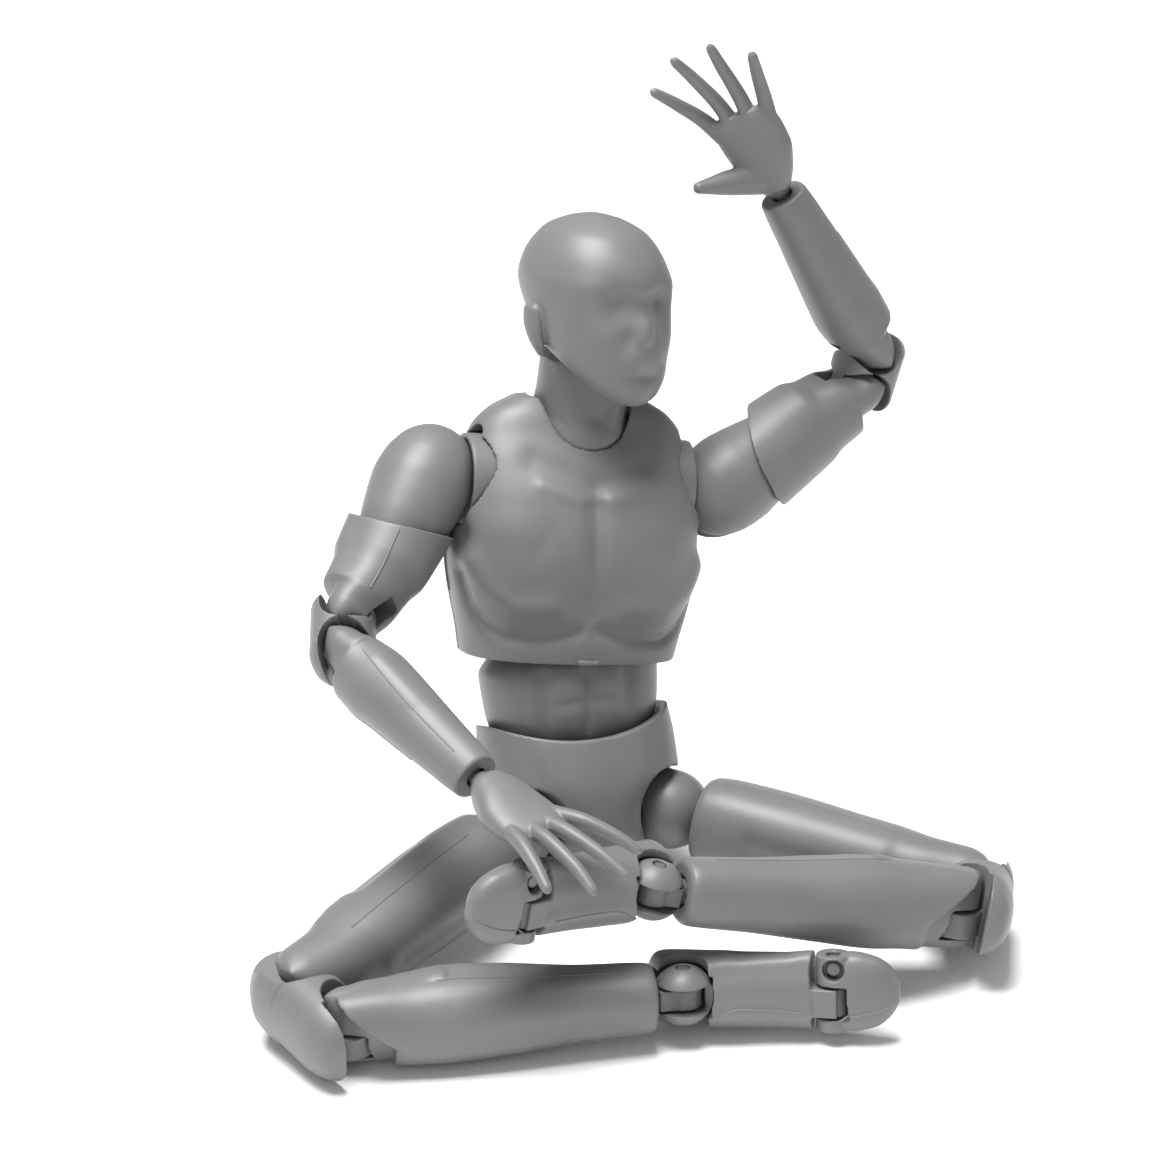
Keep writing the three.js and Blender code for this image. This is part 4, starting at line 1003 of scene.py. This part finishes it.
for step in range(6):
    bend = Matrix.Rotation(math.radians(-15 * step), 4, "X")
    for low, high in ((KNEE_WALL - 0.05, 12), (-12, 0.05 - KNEE_WALL)):
        cheek = rod("X", 1, low, high, around=64)
        cheek.data.transform(Matrix.Diagonal((1, KNEE_FRONT + GAP, KNEE_EAR + GAP, 1)))
        common(cheek, slab((-20, 20), (-9, 0), (-9, 9)))
        cheek.data.transform(bend)
        cut(knee, cheek)


BOSS_TOP = 1.6
BOSS_FOOT = -4.5
boss_slope = (BOSS_TOP - BOSS_FOOT) / (KNEE_HALF - KNEE_NOTCH - GAP)
notch_foot = BOSS_FOOT + 0.8 - KNEE_GAP
cut(knee, prism([
    (-KNEE_NOTCH, notch_foot),
    (-KNEE_NOTCH, -30),
    (-9, -30),
    (-9, notch_foot + boss_slope * (9 - KNEE_NOTCH)),
], -12, 0.1 - KNEE_EAR))
seat_pair(moulded(knee, 0.12), "knee_link", knee_place)


# Shins
# One moulding with a fork at the knee, a boss at its inner corner, a full calf, and a round end
# with a bore for the ankle post.
SHIN_LENGTH = 34.5
CALF = 4.8
ANKLE = 3.4
knee_lower = {"right": 61, "left": 65}
shin_place = hung(knee_place, "X", knee_lower, (0, 0, -KNEE_GAP))
shin_end = 3 - SHIN_LENGTH
SHIN_FRONT = CALF - 0.6
lower_shin = [
    (-6, CALF - 0.2, CALF - 0.4, KNEE_EAR + 1.5),
    (-10, CALF, CALF - 0.2, CALF + 0.2),
    (-16, CALF - 0.4, CALF - 0.4, CALF),
    (-24, ANKLE + 0.4, ANKLE + 0.3, ANKLE + 0.4),
    (shin_end + 1.2, ANKLE + 0.1, ANKLE + 0.1, ANKLE + 0.1),
    (shin_end + 0.3, ANKLE - 0.1, ANKLE - 0.1, ANKLE - 0.1),
    (shin_end, ANKLE - 0.5, ANKLE - 0.5, ANKLE - 0.5),
]
shin = limb([
    *round_end(0, 1, KNEE_HALF, SHIN_EAR, SHIN_EAR, SHIN_EAR),
    (0, KNEE_HALF, SHIN_EAR, SHIN_EAR),
    (-1.6, KNEE_HALF, KNEE_EAR - 0.1, KNEE_EAR + 0.3),
    (-KNEE_RISE - 0.3, KNEE_HALF, KNEE_EAR, KNEE_EAR + 0.8),
    (-KNEE_RISE - 0.4, KNEE_HALF + 0.1, SHIN_FRONT - 0.2, KNEE_EAR + 0.9),
    *lower_shin,
], 2.3)
boss = limb([
    (3, KNEE_HALF - 0.8, SHIN_FRONT - 1.2, 1.6),
    (1.6, KNEE_HALF - 0.3, SHIN_FRONT - 0.6, 1.9),
    (0, KNEE_HALF, SHIN_FRONT - 0.1, 2.2),
    (-3, KNEE_HALF + 0.1, SHIN_FRONT, 3),
    *lower_shin,
], 2.3)
common(boss, prism([
    (-KNEE_NOTCH - GAP, BOSS_FOOT),
    (-KNEE_NOTCH - GAP, -SHIN_LENGTH),
    (-9, -SHIN_LENGTH),
    (-9, BOSS_TOP),
    (-KNEE_HALF, BOSS_TOP),
], -9, 9))
join(shin, boss)
relief(shin, [
    ([(1.4, -4.2, -8), (1, -3.8, -26)], 0.8, 0.15),
    ([(0, 5, -8), (0, 4.6, -15)], 2.4, 0.3),
    ([(-4.4, 1, -9), (-3.8, 1, -20)], 0.9, -0.2),
    ([(4.4, 1, -9), (3.8, 1, -20)], 0.9, -0.2),
])
forked(shin, 0, 1)
cut(shin, rod("Z", 1.6, shin_end - 1, 7.3 - SHIN_LENGTH))
seat_pair(moulded(shin, 0.16, 4), "shin", shin_place)


# Ankle posts and balls
# A peg pushed into the shin ends in a flat tongue between the two ears of the ankle ball, which
# a pin holds.
ANKLE_BALL = 3.2
ANKLE_TONGUE = 1.1
ANKLE_TONGUE_RADIUS = 1.9
ankle_turn = {"right": 18, "left": -10}
ankle_bend = {"right": 69, "left": 64}
ankle_post_place = hung(shin_place, "Z", ankle_turn, (0, 0, -SHIN_LENGTH))
ankle_ball_place = hung(ankle_post_place, "X", ankle_bend)
ankle_post = cut(
    join(
        rod("Z", 1.3, 1, 7),
        rod("X", ANKLE_TONGUE_RADIUS, -ANKLE_TONGUE, ANKLE_TONGUE),
        slab((-ANKLE_TONGUE, ANKLE_TONGUE), (-1.6, 1.6), (0, 2.7)),
    ),
    rod("X", SMALL_BORE, -9, 9),
)
seat_pair(moulded(ankle_post, 0.12), "ankle_post", ankle_post_place, "joint_plastic")
ankle_half = ANKLE_TONGUE + GAP
ankle_ball = cut(
    ball(ANKLE_BALL),
    slab((-ankle_half, ankle_half), (-9, 9), (0, 9)),
    slab((-ankle_half, ankle_half), (0, 9), (-ANKLE_TONGUE_RADIUS, 9)),
    rod("X", ANKLE_TONGUE_RADIUS + GAP, -ankle_half, ankle_half),
    rod("X", SMALL_BORE, -9, 9),
)
seat_pair(moulded(ankle_ball, 0.12), "ankle_ball", ankle_ball_place)


# Feet and toe caps
# The foot has a cup for the ankle ball, a flat sole and a tongue in front for the toe cap, which
# is forked over it and turns on a pin.
FOOT_HALF = 4.1
SOLE = 5.5
TOE_HINGE = 15
TOE_DROP = 3.6
TOE_EAR = 1.8
TOE_TONGUE = 1.5
TOE_SHIFT = 0.9
foot_roll = {"right": 3, "left": 5}
toe_hinge = (0, -TOE_HINGE, -TOE_DROP)
foot_place = toe_place = hung(ankle_ball_place, "Y", foot_roll)


def along_foot(stations):
    """Sections from the heel forwards: half width, top, bottom, above a flat sole."""
    shape = limb([(ahead, half, bottom, top) for ahead, half, top, bottom in stations], 2.6, 96, 0.25)
    shape.data.transform(Matrix.Rotation(math.radians(90), 4, "X"))
    return common(shape, slab((-20, 20), (-60, 60), (-SOLE, 20)))


toe_low, toe_high = TOE_SHIFT - TOE_TONGUE, TOE_SHIFT + TOE_TONGUE
foot = along_foot([
    (-4.6, 1.6, -3.9, SOLE),
    (-4.1, 2.6, -2.6, SOLE + 0.5),
    (-3.2, FOOT_HALF - 0.8, -0.8, SOLE + 0.5),
    (-2.2, FOOT_HALF - 0.5, 0.8, SOLE + 0.5),
    (2, FOOT_HALF - 0.3, 1.2, SOLE + 0.5),
    (5.5, FOOT_HALF - 0.2, 0.4, SOLE + 0.5),
    (9.5, FOOT_HALF - 0.1, -0.8, SOLE + 0.5),
    (TOE_HINGE - TOE_EAR - GAP, FOOT_HALF, -1.6, SOLE + 0.5),
])
relief(foot, [
    ([(1.6, -2.2, 0.6), (1.1, -5.9, 0.4), (1.3, -8.4, -0.4), (1.8, -12.5, -1.4)], 1.1, 0.4),
    ([(-2.6, -4, 0.4), (-2.9, -12, -1.6)], 1.5, -0.45),
    ([(-4, -6, -3), (-4, -10, -3.4)], 1.6, -0.3),
])
cut(
    join(
        foot,
        slab((toe_low, toe_high), (-TOE_HINGE - 0.6, 4 - TOE_HINGE), (0.4 - SOLE, -1.7)),
        rod("X", TOE_EAR - 0.3, toe_low, toe_high, toe_hinge),
    ),
    ball(ANKLE_BALL + GAP),
    rod("X", ANKLE_BALL - 0.5, -9, 9, (0, 0, 0.7)),
    slab((-ankle_half - 0.8, ankle_half + 0.8), (-ANKLE_BALL, 0), (0, 9)),
    slab((-ankle_half - 0.8, ankle_half + 0.8), (0, 9), (-ANKLE_TONGUE_RADIUS, 9)),
    rod("X", SMALL_BORE, -9, 9, toe_hinge),
)
seat_pair(moulded(foot, 0.14, 3), "foot", foot_place)

toe_slot = (toe_low - GAP, toe_high + GAP)
screw_at = (-2.7, -TOE_HINGE - 0.2, 0)
toe = along_foot([
    (TOE_HINGE, FOOT_HALF, -1.7, SOLE + 0.4),
    (TOE_HINGE + 2, FOOT_HALF + 0.1, -1.8, SOLE + 0.4),
    (TOE_HINGE + 4.4, FOOT_HALF - 0.4, -2.3, SOLE + 0.2),
    (TOE_HINGE + 6, FOOT_HALF - 1.6, -3, SOLE),
    (TOE_HINGE + 6.8, FOOT_HALF - 3, -3.8, SOLE - 0.7),
])
cut(
    join(toe, rod("X", TOE_EAR, 0.05 - FOOT_HALF, FOOT_HALF - 0.05, toe_hinge)),
    slab(toe_slot, (-TOE_HINGE, 6 - TOE_HINGE), (-9, 0)),
    rod("X", 2.4, *toe_slot, toe_hinge),
    rod("X", SMALL_BORE, -9, 9, toe_hinge),
    rod("Z", 1.15, -2.9, 2, screw_at),
)
join(toe, rod("Z", 0.75, -3.4, -2.4, screw_at))
seat_pair(moulded(toe, 0.12), "toe", toe_place)


# Pins
# Plain round pins of the darker plastic, pressed through the ears and tongues of every hinge.
# Those of the elbows and knees stop short of the surface.
PIN = 0.7
SMALL_PIN = 0.55


def new_tree(name, *sizes):
    """A geometry tree with one geometry input and a named input for each size."""
    tree = bpy.data.node_groups.new(name, "GeometryNodeTree")
    tree.interface.new_socket("Geometry", in_out="INPUT", socket_type="NodeSocketGeometry")
    for size in sizes:
        tree.interface.new_socket(size, in_out="INPUT", socket_type="NodeSocketFloat")
    tree.interface.new_socket("Geometry", in_out="OUTPUT", socket_type="NodeSocketGeometry")
    return tree


def finish_tree(tree, geometry, material):
    """Ends a tree in real faces of one material."""
    real = node(tree, "GeometryNodeRealizeInstances", inputs={"Geometry": geometry})
    dressed = node(tree, "GeometryNodeSetMaterial", inputs={
        "Geometry": real.outputs["Geometry"], "Material": material})
    node(tree, "NodeGroupOutput", inputs={"Geometry": dressed.outputs["Geometry"]})


def grown(tree, mesh, **sizes):
    """The plain mesh a tree makes of a mesh, with its sizes set by name."""
    holder = bpy.data.objects.new("holder", mesh)
    scene.collection.objects.link(holder)
    modifier = holder.modifiers.new("tree", "NODES")
    modifier.node_group = tree
    for socket in tree.interface.items_tree:
        if socket.name in sizes:
            modifier[socket.identifier] = float(sizes[socket.name])
    bpy.context.view_layer.update()
    made = bpy.data.meshes.new_from_object(holder.evaluated_get(bpy.context.evaluated_depsgraph_get()))
    bpy.data.objects.remove(holder)
    piece = bpy.data.objects.new("grown", made)
    scene.collection.objects.link(piece)
    return piece


pin_tree = new_tree("pins", "Radius", "Length", "Spacing", "Count")
sizes = node(pin_tree, "NodeGroupInput").outputs
drop = node(pin_tree, "ShaderNodeMath", operation="MULTIPLY", inputs={0: sizes["Spacing"], 1: -1})
down = node(pin_tree, "ShaderNodeCombineXYZ", inputs={"Z": drop.outputs[0]})
row = node(pin_tree, "GeometryNodeMeshLine", inputs={
    "Count": sizes["Count"], "Offset": down.outputs["Vector"]})
one = node(pin_tree, "GeometryNodeMeshCylinder", inputs={
    "Vertices": 32, "Radius": sizes["Radius"], "Depth": sizes["Length"]})
laid = node(pin_tree, "GeometryNodeInstanceOnPoints", inputs={
    "Points": row.outputs["Mesh"],
    "Instance": one.outputs["Mesh"],
    "Rotation": (0, math.radians(90), 0),
})
finish_tree(pin_tree, laid.outputs["Instances"], plastics["joint_plastic"])


def pins(radius, half, spacing=0, count=1):
    """A row of pins along X, one below the other."""
    empty = bpy.data.meshes.new("empty")
    return grown(pin_tree, empty, Radius=radius, Length=2 * half, Spacing=spacing, Count=count)


across = Matrix.Rotation(math.radians(90), 4, "Z")
at_toe = Matrix.Translation(toe_hinge)
elbow_pins = ("elbow_pin_upper", "elbow_pin_lower")
knee_pins = ("knee_pin_upper", "knee_pin_lower")
for word in SIDES:
    for body, names, place, shape in (
        ("deltoid", ("shoulder_pin",), deltoid_place[word] @ across, pins(SMALL_PIN, 3.5)),
        ("elbow_link", elbow_pins, elbow_place[word], pins(PIN, pin_reach - 0.25, ELBOW_GAP, 2)),
        ("knee_link", knee_pins, knee_place[word], pins(PIN, knee_pin_reach - 0.1, KNEE_GAP, 2)),
        ("ankle_ball", ("ankle_pin",), ankle_ball_place[word], pins(SMALL_PIN, ANKLE_BALL - 0.3)),
        ("toe", ("toe_pin",), toe_place[word] @ at_toe, pins(SMALL_PIN, FOOT_HALF - 0.4)),
    ):
        nodes = [f"{word}_{name}" for name in names]
        seat(shape, f"{word}_{body}_pins", place, f"{word}_{body}", "joint_plastic", *nodes)


# Parting lines
# Thin beads of the same plastic, left where the halves of each mould met. They are a little
# uneven along the way.
bead_tree = new_tree("parting line", "Radius", "Unevenness")
inlet = node(bead_tree, "NodeGroupInput").outputs
path = node(bead_tree, "GeometryNodeMeshToCurve", inputs={"Mesh": inlet["Geometry"]})
waver = node(bead_tree, "ShaderNodeTexNoise", noise_dimensions="4D", inputs={
    "W": 3, "Scale": 900, "Detail": 2})
spread = node(bead_tree, "ShaderNodeMath", operation="MULTIPLY_ADD", inputs={
    0: waver.outputs[0], 1: inlet["Unevenness"], 2: inlet["Radius"]})
thick = node(bead_tree, "GeometryNodeSetCurveRadius", inputs={
    "Curve": path.outputs["Curve"], "Radius": spread.outputs[0]})
ring = node(bead_tree, "GeometryNodeCurvePrimitiveCircle", inputs={"Resolution": 8, "Radius": 1})
tube = node(bead_tree, "GeometryNodeCurveToMesh", inputs={
    "Curve": thick.outputs["Curve"], "Profile Curve": ring.outputs["Curve"], "Fill Caps": True})
if "Scale" in tube.inputs:
    bead_tree.links.new(spread.outputs[0], tube.inputs["Scale"])
finish_tree(bead_tree, tube.outputs["Mesh"], plastics["body_plastic"])


def bead(skin_name, name, place, body, line, radius=0.07, unevenness=0.05):
    """A parting line over the surface of a piece, near a line of points in its frame."""
    surface = bpy.data.objects[skin_name]
    line = np.array(line, float)
    run = np.concatenate([[0], np.cumsum(np.linalg.norm(np.diff(line, axis=0), axis=1))])
    stops = smooth_rows(run, line, np.linspace(0, run[-1], max(8, round(run[-1] / 0.25))))
    found = [surface.closest_point_on_mesh(place @ Vector(stop) * 0.001)[1] for stop in stops]
    mesh = bpy.data.meshes.new("line")
    mesh.from_pydata(found, [(i, i + 1) for i in range(len(found) - 1)], [])
    strip = grown(bead_tree, mesh, Radius=radius * 0.001, Unevenness=unevenness * 0.001)
    strip.data.transform((Matrix.Scale(0.001, 4) @ place).inverted())
    seat(strip, name, place, body, "body_plastic")


bpy.context.view_layer.update()
UPPER_ARM_LINE = [(4.4, -2.1, -6), (4, -2.3, -9.8), (3.8, -2.4, -13.6), (3.7, -2.3, -17)]
FOREARM_OUTER_LINE = [(3.8, -0.5, -3), (3.6, 0, -8.3), (3.2, 0.2, -12.2), (2.7, 0.3, -19)]
FOREARM_INNER_LINE = [(-2.4, 3, -1), (-1.2, 3.5, -5.5), (-1.1, 3.3, -9.6), (-1, 2.9, -14)]
THIGH_LINE = [(-4.6, 0.5, -9), (-4.9, 0.5, -18), (-4.6, 0.5, -28)]
SHIN_LINE = [(-4.6, 0, -9), (-4.4, 0, -18), (-3.6, 0, -28)]
FOOT_LINE = [(1.7, -3.4, 0.6), (1.1, -5.9, 0.6), (1.3, -8.4, 0), (1.8, -12.3, -1)]
TOE_LINE = [(2.4, -15, -1.4), (2.2, -17.5, -1.6), (1.6, -20, -2.4), (0.8, -21.4, -3.6)]
for word, side in SIDES.items():
    for part, number, places, line, radius in (
        ("upper_arm", 0, upper_arm_place, UPPER_ARM_LINE, 0.1),
        ("forearm", 0, forearm_place, FOREARM_OUTER_LINE, 0.06),
        ("forearm", 1, forearm_place, FOREARM_INNER_LINE, 0.06),
        ("thigh", 0, thigh_place, THIGH_LINE, 0.05),
        ("shin", 0, shin_place, SHIN_LINE, 0.05),
        ("foot", 0, foot_place, FOOT_LINE, 0.07),
        ("toe", 0, toe_place, TOE_LINE, 0.07),
    ):
        body = f"{word}_{part}"
        mirrored = [(side * x, y, z) for x, y, z in line]
        bead(body + "_moulded", f"{body}_line_{number}", places[word], body, mirrored, radius)
    bead("chest_front_moulded", f"{word}_chest_flash", chest_place, "chest",
         [(side * 14, SEAM - 0.2, 6), (side * 14.4, SEAM - 0.2, 8), (side * 14.4, SEAM - 0.2, 11)], 0.1, 0.25)
bead("chest_front_moulded", "chest_hem_flash", chest_place, "chest",
     [(-1, -8.2, -0.4), (0, -8.3, -0.4), (1.2, -8.1, -0.4)], 0.12, 0.3)


# Studio
# A plain pale floor under soft light from above and a little from in front, and a camera set
# where the photograph was taken from.
pale = bpy.data.materials.new("pale paper")
pale.use_nodes = True
pale.node_tree.nodes["Principled BSDF"].inputs["Base Color"].default_value = linear("#ffffff")
pale.node_tree.nodes["Principled BSDF"].inputs["Roughness"].default_value = 0.9
floor = slab((-3000, 3000), (-3000, 3000), (-1, 0))
floor.data.transform(Matrix.Scale(0.001, 4))
floor.name = "floor"
floor.data.materials.append(pale)

world = bpy.data.worlds.new("studio")
scene.world = world
world.use_nodes = True
world.node_tree.nodes["Background"].inputs["Color"].default_value = linear("#ffffff")
world.node_tree.nodes["Background"].inputs["Strength"].default_value = 0.36
scene.view_settings.view_transform = "Standard"

for name, at, size, power in (
    ("top", (-0.12, 0.05, 0.75), 0.4, 11),
    ("front", (-0.3, -0.5, 0.3), 0.4, 0.35),
):
    lamp = bpy.data.lights.new(name, "AREA")
    lamp.size = size
    lamp.energy = power
    light = bpy.data.objects.new(name, lamp)
    light.location = at
    light.rotation_euler = (Vector((0, 0, 0.04)) - Vector(at)).to_track_quat("-Z", "Y").to_euler()
    scene.collection.objects.link(light)

AZIMUTH = math.radians(-21.2)
ELEVATION = math.radians(25.6)
DISTANCE = 0.3815
back = Vector((
    math.sin(AZIMUTH) * math.cos(ELEVATION),
    -math.cos(AZIMUTH) * math.cos(ELEVATION),
    math.sin(ELEVATION),
))
target = hips * 0.001 + Vector((-0.0003, 0, 0.0281))
camera = bpy.data.objects.new("camera", bpy.data.cameras.new("camera"))
camera.data.lens = 109.8
camera.data.clip_start = 0.01
camera.location = target + back * DISTANCE
camera.rotation_euler = back.to_track_quat("Z", "Y").to_euler()
scene.collection.objects.link(camera)
scene.camera = camera
